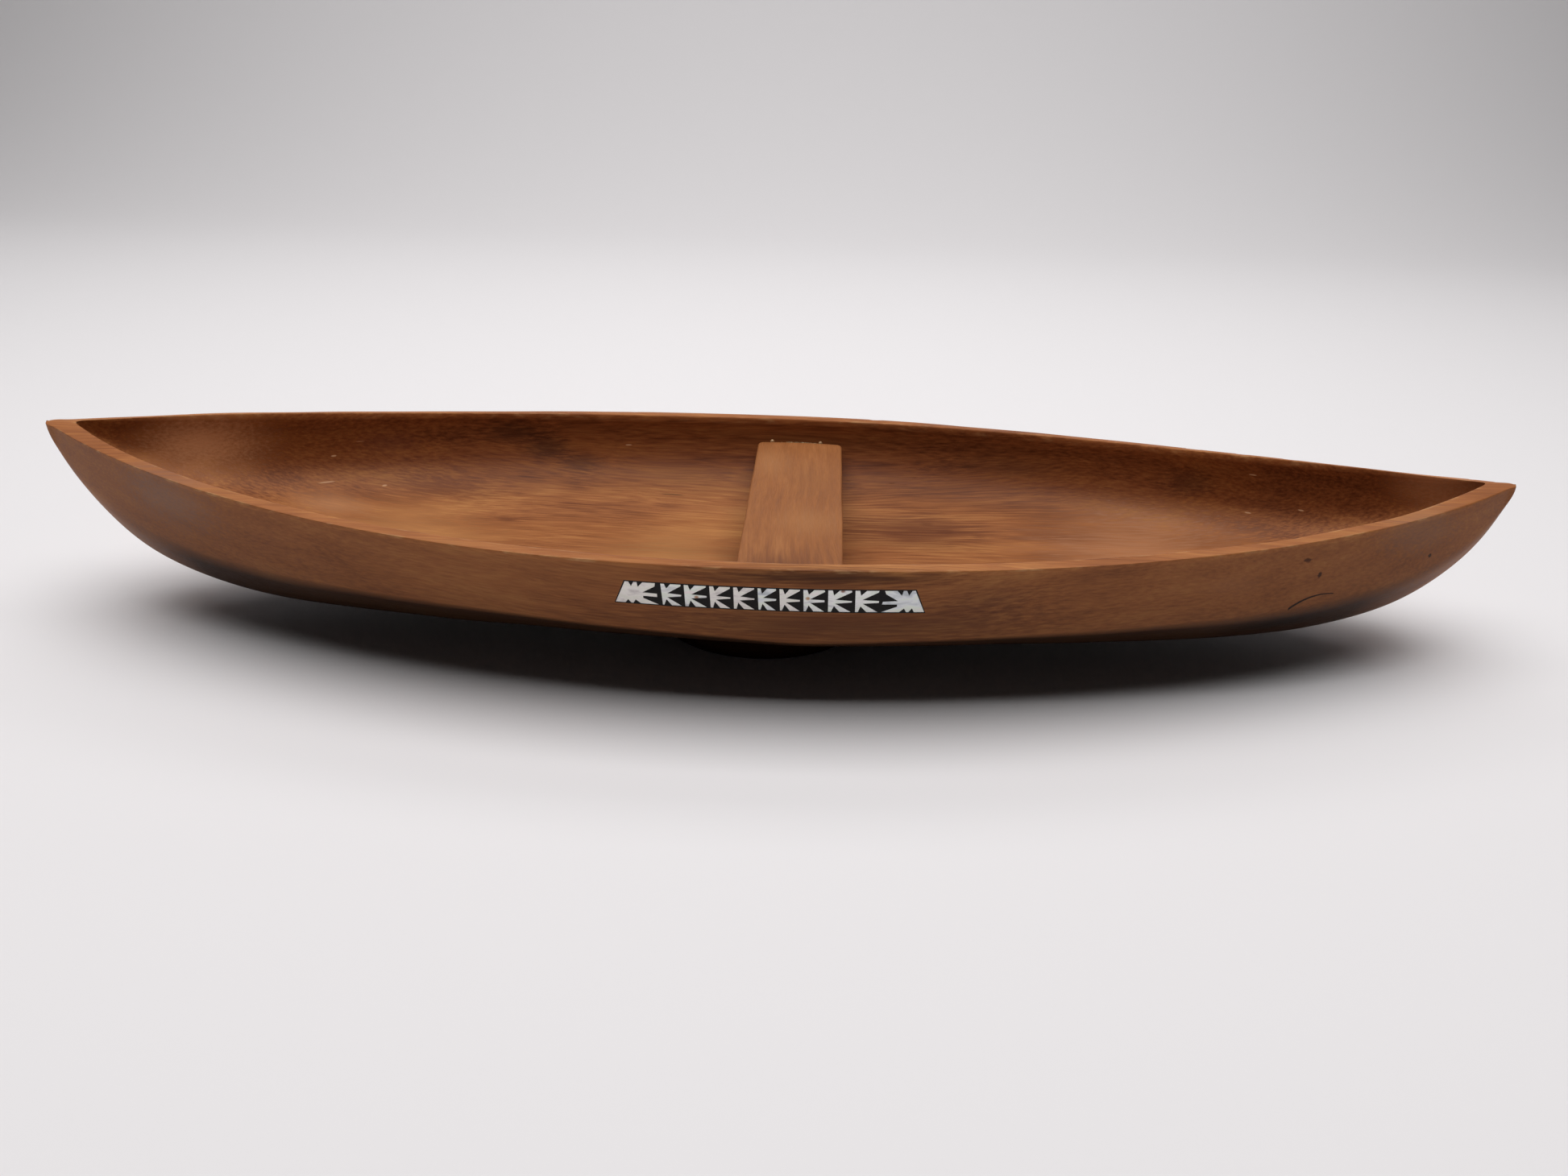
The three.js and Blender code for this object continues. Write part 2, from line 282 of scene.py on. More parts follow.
def bevelled(
    bm: Solid, edges: Sequence[bmesh.types.BMEdge], width: float, steps: int, fullness: float = 0.5
) -> None:
    """Rounds edges.

    Args:
        bm: the mesh.
        edges: its edges.
        width: how far the rounding reaches from each.
        steps: the number of stretches.
        fullness: 0.5 for a circle's arc; more bulges outwards.
    """
    bmesh.ops.bevel(bm, geom=edges, offset=width, segments=steps, profile=fullness, affect="EDGES")


def place_piece(
    bm: Solid, name: str, material: bpy.types.Material, stands_for: Sequence[str]
) -> bpy.types.Object:
    """Turns a finished bmesh into a piece that rides on the bowl.

    Args:
        bm: the mesh, in metres; it is freed.
        name: the piece's name.
        material: its finish.
        stands_for: the CAD nodes that it replaces.

    Returns:
        The new object.
    """
    mesh = as_mesh(bm, name)
    mesh.materials.append(material)
    mesh.shade_smooth()
    mesh.set_sharp_from_angle(angle=SHARP_ANGLE)
    piece = add_object(name, mesh)
    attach(piece, BODY)
    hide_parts(*stands_for)
    LOG.info("%s: %d faces", name, len(mesh.polygons))
    return piece


# ---- Finishes ----


@dataclass(frozen=True)
class Mark:
    """A stain, knot, scratch or worn spot in the wood, or a patch of painted shade or painted light, as a soft
    ellipsoid round a point.

    Args:
        centre: its middle, in mm.
        radii: its half-sizes along X, Y and Z, in mm.
        colour: the hex colour it turns the wood to.
        strength: from 0, none, to 1, full.
        softness: the share of its radius over which it fades.
        ragged: how far the fibres pull its edge about, as a share of its radius.
    """

    centre: tuple[float, float, float]
    radii: tuple[float, float, float]
    colour: str
    strength: float
    softness: float = 0.8
    ragged: float = 0.25


@dataclass(frozen=True)
class Crack:
    """A curved drying crack that shows as a thin dark arc on the outer wall, seen along Y.

    Args:
        centre: the arc's centre in X and Z, in mm.
        radius: its radius, in mm.
        widths: half its width at its least and at its greatest X, in mm.
        reach: the least and greatest X that it covers, in mm.
        side: the wall that it is on.
        least_y: how far out from the middle it starts to show, in mm, so that the hollow stays whole.
        colour: the dark of its bottom.
    """

    centre: tuple[float, float]
    radius: float
    widths: tuple[float, float]
    reach: tuple[float, float]
    side: Wall
    least_y: float = 25.0
    colour: str = "1c0f09"


@dataclass(frozen=True)
class OiledHardwood:
    """Red-brown tropical hardwood, cut across its fibres with a gouge, sanded and rubbed with oil.

    To the eye it has long faint streaks along the fibres, slow drifts from honey to umber, short dark pores,
    and a satin skin that is a little glossier where the oil has built up.  A pattern's size is its length
    along the fibres and its width across them, in mm.  A pair of shares is for the outside and the hollow.
    """

    name: str
    dark: str
    middle: str
    light: str
    grain: Grain = Grain.ALONG_X
    drift_size: tuple[float, float] = (90.0, 40.0)
    drift: float = 9.0  # how far the fibres wander
    streak_size: tuple[float, float] = (22.0, 0.65)
    figure_size: tuple[float, float] = (60.0, 16.0)
    fibre_size: tuple[float, float] = (7.0, 0.5)
    fibre_shade: tuple[float, float] = (0.9, 1.07)
    ring_spacing: float = 5.5
    pith: tuple[float, float, float] = (0.0, 38.0, -55.0)
    pore_size: tuple[float, float] = (4.2, 0.4)  # a real pore is half as wide, and would not show
    pore_patch_size: tuple[float, float] = (30.0, 12.0)
    pore_reach: float = 0.16
    pore_shade: float = 0.65
    pore_strength: tuple[float, float] = (0.2, 0.7)  # wear has filled the outer ones
    tone_shares: tuple[float, float, float] = (0.52, 0.44, 0.04)  # of figure, streaks and rings
    tone_strength: tuple[float, float] = (0.5, 0.95)
    underside_painted_shade: float = 0.1  # painted shade under the bowl, which stands in its own shadow: how much of the colour is left there
    roughness: float = 0.48
    specular: float = 0.12
    # the colour of the painted shade on the hollow's far wall
    heartwood_stain: str = "b2967f"
    bare: str = "c99c6c"
    edge_wear: float = 0.6
    nick_size: tuple[float, float] = (7.0, 2.0)
    rim_face_light: float = 1.13  # painted light: the rim's face, which faces up to the light, is a little lighter
    marks: tuple[Mark, ...] = ()
    cracks: tuple[Crack, ...] = ()

    def material(self) -> bpy.types.Material:
        """Builds the wood.

        Returns:
            The finished material.
        """
        material, tree, shader = new_material(self.name, {"Specular IOR Level": self.specular})
        place = add_node(tree, "ShaderNodeTexCoord").outputs["Object"]
        upright = in_sizes(tree, place, (MM, MM, MM))
        board = in_sizes(tree, place, (MM, MM, MM), self.grain.value)
        wander = along_fibres(tree, board, self.drift_size, 2.0, "Color")
        sway = vector(tree, "MULTIPLY_ADD", wander, (0.0, self.drift, self.drift), board)
        streaks = along_fibres(tree, sway, self.streak_size, 4.0)
        figure = along_fibres(tree, sway, self.figure_size, 3.0)
        fibres = along_fibres(tree, sway, self.fibre_size, 2.0)
        hollow = attribute(tree, "hollow")
        pores = self._pores(tree, sway, hollow)
        colour = self._toned(tree, (figure, streaks, self._rings(tree, sway)), hollow)
        colour = self._threaded(tree, colour, fibres, pores)
        # Painted shade on the hollow's far wall, which faces away from the light, broken up by the figure.
        patchy = remapped(tree, figure, (0.3, 0.7), (0.7, 1.0))
        darkening = number(tree, "MULTIPLY", attribute(tree, "heartwood"), patchy)
        colour = mixed(tree, darkening, colour, self.heartwood_stain, "MULTIPLY")
        for mark in self.marks:
            colour = self._marked(tree, upright, streaks, colour, mark)
        colour = self._rim_light_and_wear(tree, board, colour)
        for crack in self.cracks:
            colour = self._cracked(tree, upright, colour, crack)
        # Painted shade under the bowl, where the hollow attribute falls below 0.
        colour = dimmed(tree, colour, remapped(tree, hollow, (-1.0, 0.0), (self.underside_painted_shade, 1.0)))
        tree.links.new(colour, shader.inputs["Base Color"])
        satin = remapped(tree, streaks, (0.3, 0.7), (self.roughness - 0.05, self.roughness + 0.08))
        tree.links.new(number(tree, "MULTIPLY_ADD", pores, 0.25, satin), shader.inputs["Roughness"])
        bumped(tree, shader, number(tree, "MULTIPLY_ADD", pores, -1.0, fibres), strength=0.35, depth=0.12)
        return material

    def _toned(self, tree: Tree, patterns: Sequence[Socket], hollow: Socket) -> Socket:
        """Colours the wood from dark to light by figure, streaks and rings."""
        tone: Socket | float = 0.0
        for pattern, share in zip(patterns, self.tone_shares):
            tone = number(tree, "MULTIPLY_ADD", pattern, share, tone)
        strength = remapped(tree, hollow, (0.0, 1.0), self.tone_strength)
        tone = number(tree, "MULTIPLY_ADD", number(tree, "SUBTRACT", tone, 0.5), strength, 0.5)
        stops = ((0.36, self.dark), (0.5, self.middle), (0.66, self.light))
        return add_node(tree, "ShaderNodeValToRGB", inputs={0: tone}, stops=stops).outputs[0]

    def _rings(self, tree: Tree, sway: Socket) -> Socket:
        """Growth rings as bands of one spacing round the pith."""
        offset = vector(tree, "SUBTRACT", sway, self.pith)
        radius = vector(tree, "LENGTH", vector(tree, "MULTIPLY", offset, (0.06, 1.0, 1.0)))
        turns = number(tree, "MULTIPLY", radius, 2 * math.pi / self.ring_spacing)
        return number(tree, "MULTIPLY_ADD", number(tree, "SINE", turns), 0.5, 0.5)

    def _pores(self, tree: Tree, sway: Socket, hollow: Socket) -> Socket:
        """Short dark dashes along the fibres, thicker in some patches than others."""
        length, width = self.pore_size
        inputs = {"Vector": in_sizes(tree, sway, (length, width, width)), "Scale": 0.42, "Randomness": 1.0}
        away = add_node(tree, "ShaderNodeTexVoronoi", inputs=inputs).outputs["Distance"]
        patches = along_fibres(tree, sway, self.pore_patch_size, 2.0)
        reach = remapped(tree, patches, (0.46, 0.7), (0.0, self.pore_reach))
        dashes = remapped(tree, number(tree, "SUBTRACT", reach, away), (0.0, 0.08), (0.0, 1.0))
        return number(tree, "MULTIPLY", dashes, remapped(tree, hollow, (0.0, 1.0), self.pore_strength))

    def _threaded(self, tree: Tree, colour: Socket, fibres: Socket, pores: Socket) -> Socket:
        """Darkens the wood a little between fibres and much in its pores."""
        threads = remapped(tree, fibres, (0.3, 0.7), self.fibre_shade)
        dips = number(tree, "MULTIPLY_ADD", pores, -self.pore_shade, 1.0)
        return dimmed(tree, colour, number(tree, "MULTIPLY", threads, dips))

    def _rim_light_and_wear(self, tree: Tree, board: Socket, colour: Socket) -> Socket:
        """Paints the rim's face a little lighter, as painted light where it faces up to the light, and wears
        its edges bare in patches, where the fibres are bruised.
        """
        edge = attribute(tree, "rim_edge")
        # Painted light on the rim's face, which faces up to the light.
        lit_face = dimmed(tree, colour, remapped(tree, edge, (0.3, 0.5), (1.0, self.rim_face_light)))
        nicks = along_fibres(tree, board, self.nick_size, 4.0)
        bare = remapped(tree, nicks, (0.52, 0.74), (0.0, self.edge_wear))
        cover = number(tree, "MULTIPLY", remapped(tree, edge, (0.75, 1.0), (0.0, 1.0)), bare)
        return mixed(tree, cover, lit_face, self.bare)

    @staticmethod
    def _marked(tree: Tree, place: Socket, streaks: Socket, colour: Socket, mark: Mark) -> Socket:
        """Lays one mark over the wood."""
        offset = vector(tree, "SUBTRACT", place, mark.centre)
        reach = vector(tree, "LENGTH", vector(tree, "DIVIDE", offset, mark.radii))
        pulled = number(tree, "MULTIPLY_ADD", streaks, 4 * mark.ragged, reach)
        edge = 1 + 2 * mark.ragged
        cover = remapped(tree, pulled, (edge, edge - mark.softness), (0.0, mark.strength), "SMOOTHSTEP")
        return mixed(tree, cover, colour, mark.colour)

    @staticmethod
    def _cracked(tree: Tree, place: Socket, colour: Socket, crack: Crack) -> Socket:
        """Draws one crack as a dark arc that thins towards its far end."""
        x, z = crack.centre
        offset = vector(tree, "SUBTRACT", place, (x, 0.0, z))
        radius = vector(tree, "LENGTH", vector(tree, "MULTIPLY", offset, (1.0, 0.0, 1.0)))
        away = number(tree, "ABSOLUTE", number(tree, "SUBTRACT", radius, crack.radius))
        axes = add_node(tree, "ShaderNodeSeparateXYZ", inputs={0: place}).outputs
        low, high = crack.reach
        cover = number(tree, "LESS_THAN", away, remapped(tree, axes["X"], crack.reach, crack.widths))
        out = number(tree, "MULTIPLY", axes["Y"], float(crack.side.value))
        bounds = (
            ("GREATER_THAN", axes["X"], low),
            ("LESS_THAN", axes["X"], high),
            ("GREATER_THAN", axes["Z"], z),
            ("GREATER_THAN", out, crack.least_y),
        )
        for test, value, limit in bounds:
            cover = number(tree, "MULTIPLY", cover, number(tree, test, value, limit))
        return mixed(tree, cover, colour, crack.colour)


def cloudy(
    tree: Tree, size: float, detail: float, stops: Sequence[tuple[float, str]]
) -> tuple[Socket, Socket]:
    """Even soft clouds between two colours.

    Args:
        tree: the node tree.
        size: the clouds' size, in mm.
        detail: how many finer layers they have.
        stops: the noise value and hex colour of each tone.

    Returns:
        The noise and the colour.
    """
    place = add_node(tree, "ShaderNodeTexCoord").outputs["Object"]
    inputs = {"Vector": place, "Scale": 1 / (size * MM), "Detail": detail}
    clouds = add_node(tree, "ShaderNodeTexNoise", inputs=inputs).outputs["Fac"]
    return clouds, add_node(tree, "ShaderNodeValToRGB", inputs={0: clouds}, stops=stops).outputs[0]


@dataclass(frozen=True)
class PressedPutty:
    """Dark nut putty, pressed in soft, then scraped and sanded: near black, dull, with fine pits."""

    name: str = "pressed_putty"
    colour: str = "0e0c0b"
    pale: str = "1d1917"
    grit: float = 0.5
    roughness: float = 0.6
    specular: float = 0.2

    def material(self) -> bpy.types.Material:
        """Builds the putty.

        Returns:
            The finished material.
        """
        values = {"Roughness": self.roughness, "Specular IOR Level": self.specular}
        material, tree, shader = new_material(self.name, values)
        grains, colour = cloudy(tree, self.grit, 3.0, ((0.35, self.colour), (0.75, self.pale)))
        tree.links.new(colour, shader.inputs["Base Color"])
        bumped(tree, shader, grains, strength=0.4, depth=0.06)
        return material


@dataclass(frozen=True)
class PolishedNacre:
    """Nautilus mother-of-pearl, sawn, filed and polished: silver white with faint drifting tints."""

    name: str
    ground: str = "f1f1ef"
    cloud: str = "cbcdcf"
    tint: str = "e6ede2"
    blush: str = "f0e8e6"
    layer_size: float = 2.6
    lustre: float = 0.5  # the stacked layers return light much as a metal does
    roughness: float = 0.28
    stain: str = ""
    stain_place: Point = (0.0, 0.0, 0.0)
    stain_radius: float = 0.7

    def material(self) -> bpy.types.Material:
        """Builds the nacre.

        Returns:
            The finished material.
        """
        values = {"Roughness": self.roughness, "Metallic": self.lustre}
        material, tree, shader = new_material(self.name, values)
        place = add_node(tree, "ShaderNodeTexCoord").outputs["Object"]
        size = self.layer_size * MM
        inputs = {"Vector": in_sizes(tree, place, (2 * size, size, size / 1.4)), "Scale": 1.0}
        inputs |= {"Detail": 3.0, "Distortion": 0.6}
        layers = add_node(tree, "ShaderNodeTexNoise", inputs=inputs).outputs["Fac"]
        stops = ((0.32, self.cloud), (0.48, self.ground), (0.58, self.tint), (0.7, self.blush))
        colour = add_node(tree, "ShaderNodeValToRGB", inputs={0: layers}, stops=stops).outputs[0]
        if self.stain:
            away = vector(tree, "DISTANCE", place, tuple(value * MM for value in self.stain_place))
            radius = self.stain_radius * MM
            cover = remapped(tree, away, (radius, radius * 0.4), (0.0, 0.85))
            colour = mixed(tree, cover, colour, self.stain)
        tree.links.new(colour, shader.inputs["Base Color"])
        bumped(tree, shader, layers, strength=0.15, depth=0.05)
        return material


@dataclass(frozen=True)
class DriedGlue:
    """Clear wood glue that has squeezed out and dried: a thin glossy amber skin with small lumps."""

    name: str = "dried_glue"
    colour: str = "8f6238"
    pale: str = "cdb48e"
    cloud_size: float = 1.2
    roughness: float = 0.22

    def material(self) -> bpy.types.Material:
        """Builds the glue.

        Returns:
            The finished material.
        """
        material, tree, shader = new_material(self.name, {"Roughness": self.roughness})
        _, colour = cloudy(tree, self.cloud_size, 2.0, ((0.4, self.colour), (0.72, self.pale)))
        tree.links.new(colour, shader.inputs["Base Color"])
        return material


@dataclass(frozen=True)
class PaperSweep:
    """The seamless pale studio paper: matt and even."""

    name: str = "paper_sweep"
    colour: str = "e9e6e7"
    roughness: float = 0.9
    specular: float = 0.1

    def material(self) -> bpy.types.Material:
        """Builds the paper.

        Returns:
            The finished material.
        """
        values = {"Base Color": linear(self.colour), "Roughness": self.roughness}
        return new_material(self.name, values | {"Specular IOR Level": self.specular})[0]


# ---- The hull's lines ----


@dataclass(frozen=True)
class EndLines:
    """What differs between the bowl's two ends; the powers act on the share of the half-length."""

    sheer_power: float
    plan_power: float
    stem_power: float
    stem_round: float
    bilge_flare: float
    bilge_ease: tuple[float, float]


@dataclass(frozen=True)
class HullLines:
    """The bowl's form, in mm: the frame gives the overall sizes, and the rest shapes the lines between.

    A station is a place along the bowl, from -1 at the left tip to 1 at the right one.

    Args:
        half_length: from the middle to a tip.
        half_beam: from the middle to the outer rim edge.
        tips: the height of the left and of the right tip.
    """

    half_length: float
    half_beam: float
    tips: tuple[float, float]
    rim_height: float = 43.0
    foot_height: float = 3.0
    rim_width: float = 4.3
    rim_tip_narrowing: float = 0.45
    nose_radius: tuple[float, float] = (2.8, 1.9)
    rim_rise: float = 0.4  # inner edge above the outer one, amidships
    rim_tip_rise: float = 0.9  # and added towards the tips, where the rim slopes outwards
    plan_roundness: float = 0.915
    bilge_breadth: float = 0.873
    bilge_drop: float = 0.575
    bilge_peak: float = 0.042
    bilge_peak_softness: float = 0.03
    wall_fullness: float = 0.8
    underside_power: float = 1.97
    hollow_depth: float = 24.5
    hollow_reach: float = 0.957
    hollow_run_power: float = 8.0
    hollow_end_power: float = 20.0
    hollow_run_round: float = 0.75
    hollow_breadth_power: float = 3.4
    hollow_depth_power: float = 2.4
    left: EndLines = EndLines(2.5, 2.25, 8.0, 0.756, -0.08, (-0.35, 0.455))
    right: EndLines = EndLines(4.3, 1.95, 7.4, 0.66, 0.21, (-0.257, 0.266))

    def end(self, s: float) -> EndLines:
        """The end that a station belongs to."""
        return self.left if s < 0 else self.right

    def tip_z(self, s: float) -> float:
        """The height of the tip on a station's side."""
        return self.tips[0] if s < 0 else self.tips[1]

    def rim_half_breadth(self, s: float) -> float:
        """Half the breadth over the outer rim edges."""
        share = min(abs(s), 1.0)
        wedge = self.half_beam * (1 - share ** self.end(s).plan_power) ** self.plan_roundness
        radius = self.nose_radius[0 if s < 0 else 1]
        away = min((1 - share) * self.half_length, radius)
        return (wedge**4 + (away * (2 * radius - away)) ** 2) ** 0.25

    def rim_z(self, s: float) -> float:
        """The height of the outer rim edge."""
        share = min(abs(s), 1.0)
        return self.rim_height + (self.tip_z(s) - self.rim_height) * share ** self.end(s).sheer_power

    def lip_z(self, s: float) -> float:
        """The height of the inner rim edge."""
        return self.rim_z(s) + self.rim_rise + self.rim_tip_rise * min(abs(s), 1.0) ** 3

    def keel_z(self, s: float) -> float:
        """The height of the keel."""
        end = self.end(s)
        run = (1 - min(abs(s), 1.0) ** end.stem_power) ** end.stem_round
        return self.tip_z(s) - (self.tip_z(s) - self.foot_height) * run

    def bilge(self, s: float) -> Point:
        """The edge between underside and wall."""
        away = math.hypot(s - self.bilge_peak, self.bilge_peak_softness) - self.bilge_peak_softness
        slope, square = self.end(s - self.bilge_peak).bilge_ease
        drop = self.bilge_drop + slope * away + square * away**2
        breadth = self.bilge_breadth + self.end(s).bilge_flare * min(abs(s), 1.0) ** 2
        height = self.rim_z(s) - drop * (self.rim_z(s) - self.keel_z(s))
        return s * self.half_length, self.rim_half_breadth(s) * breadth, height

    def rim_outer(self, s: float) -> Point:
        """The outer rim edge."""
        return s * self.half_length, self.rim_half_breadth(s), self.rim_z(s)

    def rim_inner(self, s: float) -> Point:
        """The inner rim edge, a little higher than the outer one."""
        return s * self.half_length, self.inner_half_breadth(s), self.lip_z(s)

    def wall(self, s: float, up: float) -> Point:
        """A point of the outer wall, from 0 at the bilge to 1 at the rim."""
        x, y, z = self.bilge(s)
        lift = max(up, 0.0) ** self.wall_fullness
        return x, y + (self.rim_half_breadth(s) - y) * lift, z + (self.rim_z(s) - z) * up

    def underside(self, s: float, out: float) -> Point:
        """A point of the underside, from 0 at the keel to 1 at the bilge."""
        x, y, z = self.bilge(s)
        return x, y * out, self.keel_z(s) + (z - self.keel_z(s)) * out**self.underside_power

    def inner_half_breadth(self, s: float) -> float:
        """Half the breadth between the inner rim edges."""
        step = 1e-4
        rise = self.rim_half_breadth(s + step) - self.rim_half_breadth(s - step)
        share = min(abs(s), 1.0)
        width = self.rim_width * (1 - self.rim_tip_narrowing * share**2)
        room = self.rim_half_breadth(s) - width * math.hypot(1, rise / (2 * step * self.half_length))
        closing = max(1 - (share / self.hollow_reach) ** self.hollow_end_power, 0.0)
        return max(room, 0.0) * math.sqrt(closing)

    def hollow(self, s: float, turn: float) -> Point:
        """A point of the hollow, from 0 at the floor to 1 at the inner rim edge."""
        run = max(1 - (min(abs(s), 1.0) / self.hollow_reach) ** self.hollow_run_power, 0.0)
        depth = self.hollow_depth * run**self.hollow_run_round
        angle = turn * math.pi / 2
        y = self.inner_half_breadth(s) * math.sin(angle) ** (2 / self.hollow_breadth_power)
        rise = max(math.cos(angle), 0.0) ** (2 / self.hollow_depth_power)
        return s * self.half_length, y, self.lip_z(s) - (depth + self.lip_z(s) - self.rim_z(s)) * rise


def between(start: Point, finish: Point, share: float) -> Point:
    """The point a share of the way from start to finish."""
    return tuple(a + (b - a) * share for a, b in zip(start, finish))


def eased_corner(before: Point, corner: Point, after: Point, steps: int) -> list[Point]:
    """Rounds a corner with a smooth arc.

    Args:
        before: where the arc starts.
        corner: the sharp corner that it cuts.
        after: where the arc ends.
        steps: the number of stretches.

    Returns:
        The arc's points, both ends included.
    """
    shares = [i / steps for i in range(steps + 1)]
    return [between(between(before, corner, t), between(corner, after, t), t) for t in shares]


# ---- The hull ----


class SectionPoint(NamedTuple):
    """A point of the hull's section, in mm, with what its wood shows.

    near is 1 on a rim edge and 0 away from it; side is 1 in the hollow, 0 outside and down to -1 below, where
    it carries painted shade.
    """

    place: Point
    near: float
    side: float


@dataclass
class Hull:
    """The carved block: hollow, rim, walls, underside and foot in one piece, with a pocket for each band."""

    lines: HullLines
    foot_length: float = 56.0
    foot_breadth: float = 49.2
    foot_x: float = -3.8
    foot_top: float = 8.0
    foot_flare: float = 1.2
    foot_chamfer: float = 0.9
    stations: int = 380
    station_crowding: float = 0.65  # how much closer they lie at the tips
    underside_steps: int = 14
    bilge_steps: int = 6
    wall_steps: int = 12
    wall_crowding: float = 0.8
    hollow_steps: int = 32
    bilge_softness: tuple[float, float] = (0.035, 0.14)  # amidships, and added towards the tips
    bilge_inner_share: float = 0.6  # how much of it lies on the underside
    shade_end: float = 0.93  # the station where the underside's painted shade has faded out
    shade_fade: float = 0.16
    bilge_shade: float = 0.3  # how much of that painted shade is left at the bilge
    bilge_shade_power: float = 0.6
    edge_wear: float = 2.0  # how far wear reaches from the rim's outer edge
    lip_wear: float = 1 / 9  # and from its inner edge, as a share of the hollow's turn
    far_shade_start: float = 0.12  # the height up the hollow's far wall where its painted shade starts; that wall faces away from the light
    far_shade_fade: float = 0.3
    outer_edge_radius: float = 0.5
    inner_edge_radius: float = 0.9
    carving_depth: float = 0.3
    carving_size: float = 28.0
    chip_depth: float = 0.5
    chip_size: float = 2.4
    chip_rarity: float = 0.42
    chip_patch_size: float = 45.0
    chip_patchiness: float = 0.35
    calm_half_length: float = 42.0  # the wall is left even where the bands are laid
    calm_fade: float = 15.0

    def section(self, s: float) -> list[SectionPoint]:
        """Half a section of the block, from the keel round over the rim to the hollow's floor.

        Args:
            s: the station of the outside; the hollow's is a little nearer the middle.

        Returns:
            The section's points.
        """
        lines = self.lines
        soft = self.bilge_softness[0] + self.bilge_softness[1] * abs(s) ** 2
        start = 1 - self.bilge_inner_share * soft
        # Painted shade under the bowl, which stands in its own shadow: full amidships, fading out near the
        # tips.
        below = -clamp((self.shade_end - abs(s)) / self.shade_fade)
        steps = self.underside_steps
        points = [SectionPoint(lines.underside(s, start * i / steps), 0.0, below) for i in range(steps)]
        ease = (lines.underside(s, start), lines.bilge(s), lines.wall(s, soft))
        for i, place in enumerate(eased_corner(*ease, self.bilge_steps)):
            fading = (1 - i / self.bilge_steps) ** self.bilge_shade_power
            left = self.bilge_shade + (1 - self.bilge_shade) * fading
            points.append(SectionPoint(place, 0.0, below * left))
        wall_height = max(lines.rim_z(s) - lines.bilge(s)[2], 1.0)
        top = 1 - min(self.outer_edge_radius / wall_height, 0.4)
        for i in range(1, self.wall_steps):
            up = soft + (top - soft) * (i / self.wall_steps) ** self.wall_crowding
            near = max(0.0, 1 - (1 - up) * wall_height / self.edge_wear)
            # The wall's lower rows take some painted shade too, darker towards the bilge.
            points.append(SectionPoint(lines.wall(s, up), near, self.bilge_shade * below * (1 - up) ** 2))
        inside = s * lines.hollow_reach
        points += self._rim(s, inside, top)
        lip = self._lip_turn()
        for i in range(1, self.hollow_steps + 1):
            turn = lip * (1 - i / self.hollow_steps)
            near = max(0.0, 1 - (lip - turn) / self.lip_wear)
            points.append(SectionPoint(lines.hollow(inside, turn), near, 1.0))
        return points

    def _lip_turn(self) -> float:
        """How far round the hollow's section the rounded inner edge ends."""
        drop = self.inner_edge_radius / (self.lines.hollow_depth + self.lines.rim_rise)
        return math.acos(drop ** (self.lines.hollow_depth_power / 2)) / (math.pi / 2)

    def _rim(self, s: float, inside: float, top: float) -> list[SectionPoint]:
        """The rim's face with its two rounded edges."""
        outer, inner = self.lines.rim_outer(s), self.lines.rim_inner(inside)
        width = max(math.dist(outer, inner), 1e-3)
        face_out = between(outer, inner, min(self.outer_edge_radius / width, 0.3))
        face_in = between(inner, outer, min(self.inner_edge_radius / width, 0.4))
        edge_out = eased_corner(self.lines.wall(s, top), outer, face_out, 3)
        edge_in = eased_corner(face_in, inner, self.lines.hollow(inside, self._lip_turn()), 4)
        middle = [between(face_out, face_in, share) for share in (0.2, 0.4, 0.6, 0.8)]
        rows = [SectionPoint(place, 1.0, 0.0) for place in edge_out]
        rows += [SectionPoint(place, 0.5, 0.3) for place in middle]
        return rows + [SectionPoint(place, 1.0, 0.6) for place in edge_in]

    def block(self) -> Solid:
        """Bends one sheet into the whole hull and welds its seams.

        Returns:
            The closed hull without its foot, in metres.
        """
        half = len(self.section(0.0)) - 1
        rows = 2 * half
        bm = bmesh.new()
        bmesh.ops.create_grid(bm, x_segments=self.stations, y_segments=rows, size=1.0)
        layers = bm.verts.layers.float
        near, hollow, shade_up_wall = (layers.new(name) for name in ("rim_edge", "hollow", "heartwood"))
        sections: dict[int, list[SectionPoint]] = {}
        for vert in bm.verts:
            column = round((vert.co.x + 1) / 2 * self.stations)
            row = round((vert.co.y + 1) / 2 * rows)
            if column not in sections:
                u = 2 * column / self.stations - 1
                crowded = self.station_crowding * math.sin(u * math.pi / 2)
                sections[column] = self.section((1 - self.station_crowding) * u + crowded)
            (x, y, z), vert[near], vert[hollow] = sections[column][min(row, rows - row)]
            # Painted shade up the hollow's far wall, which faces away from the light.
            if row < half and vert[hollow] == 1.0:
                floor = sections[column][-1].place[2]
                up = (z - floor) / max(self.lines.rim_z(x / self.lines.half_length) - floor, 1.0)
                vert[shade_up_wall] = clamp((up - self.far_shade_start) / self.far_shade_fade)
            if column in (0, self.stations):
                y = 0.0
            vert.co = (x * MM, (y if row < half else -y) * MM, z * MM)
        bmesh.ops.remove_doubles(bm, verts=bm.verts[:], dist=WELD * MM)
        bmesh.ops.dissolve_degenerate(bm, dist=SPECK * MM, edges=bm.edges[:])
        bmesh.ops.recalc_face_normals(bm, faces=bm.faces[:])
        return bm

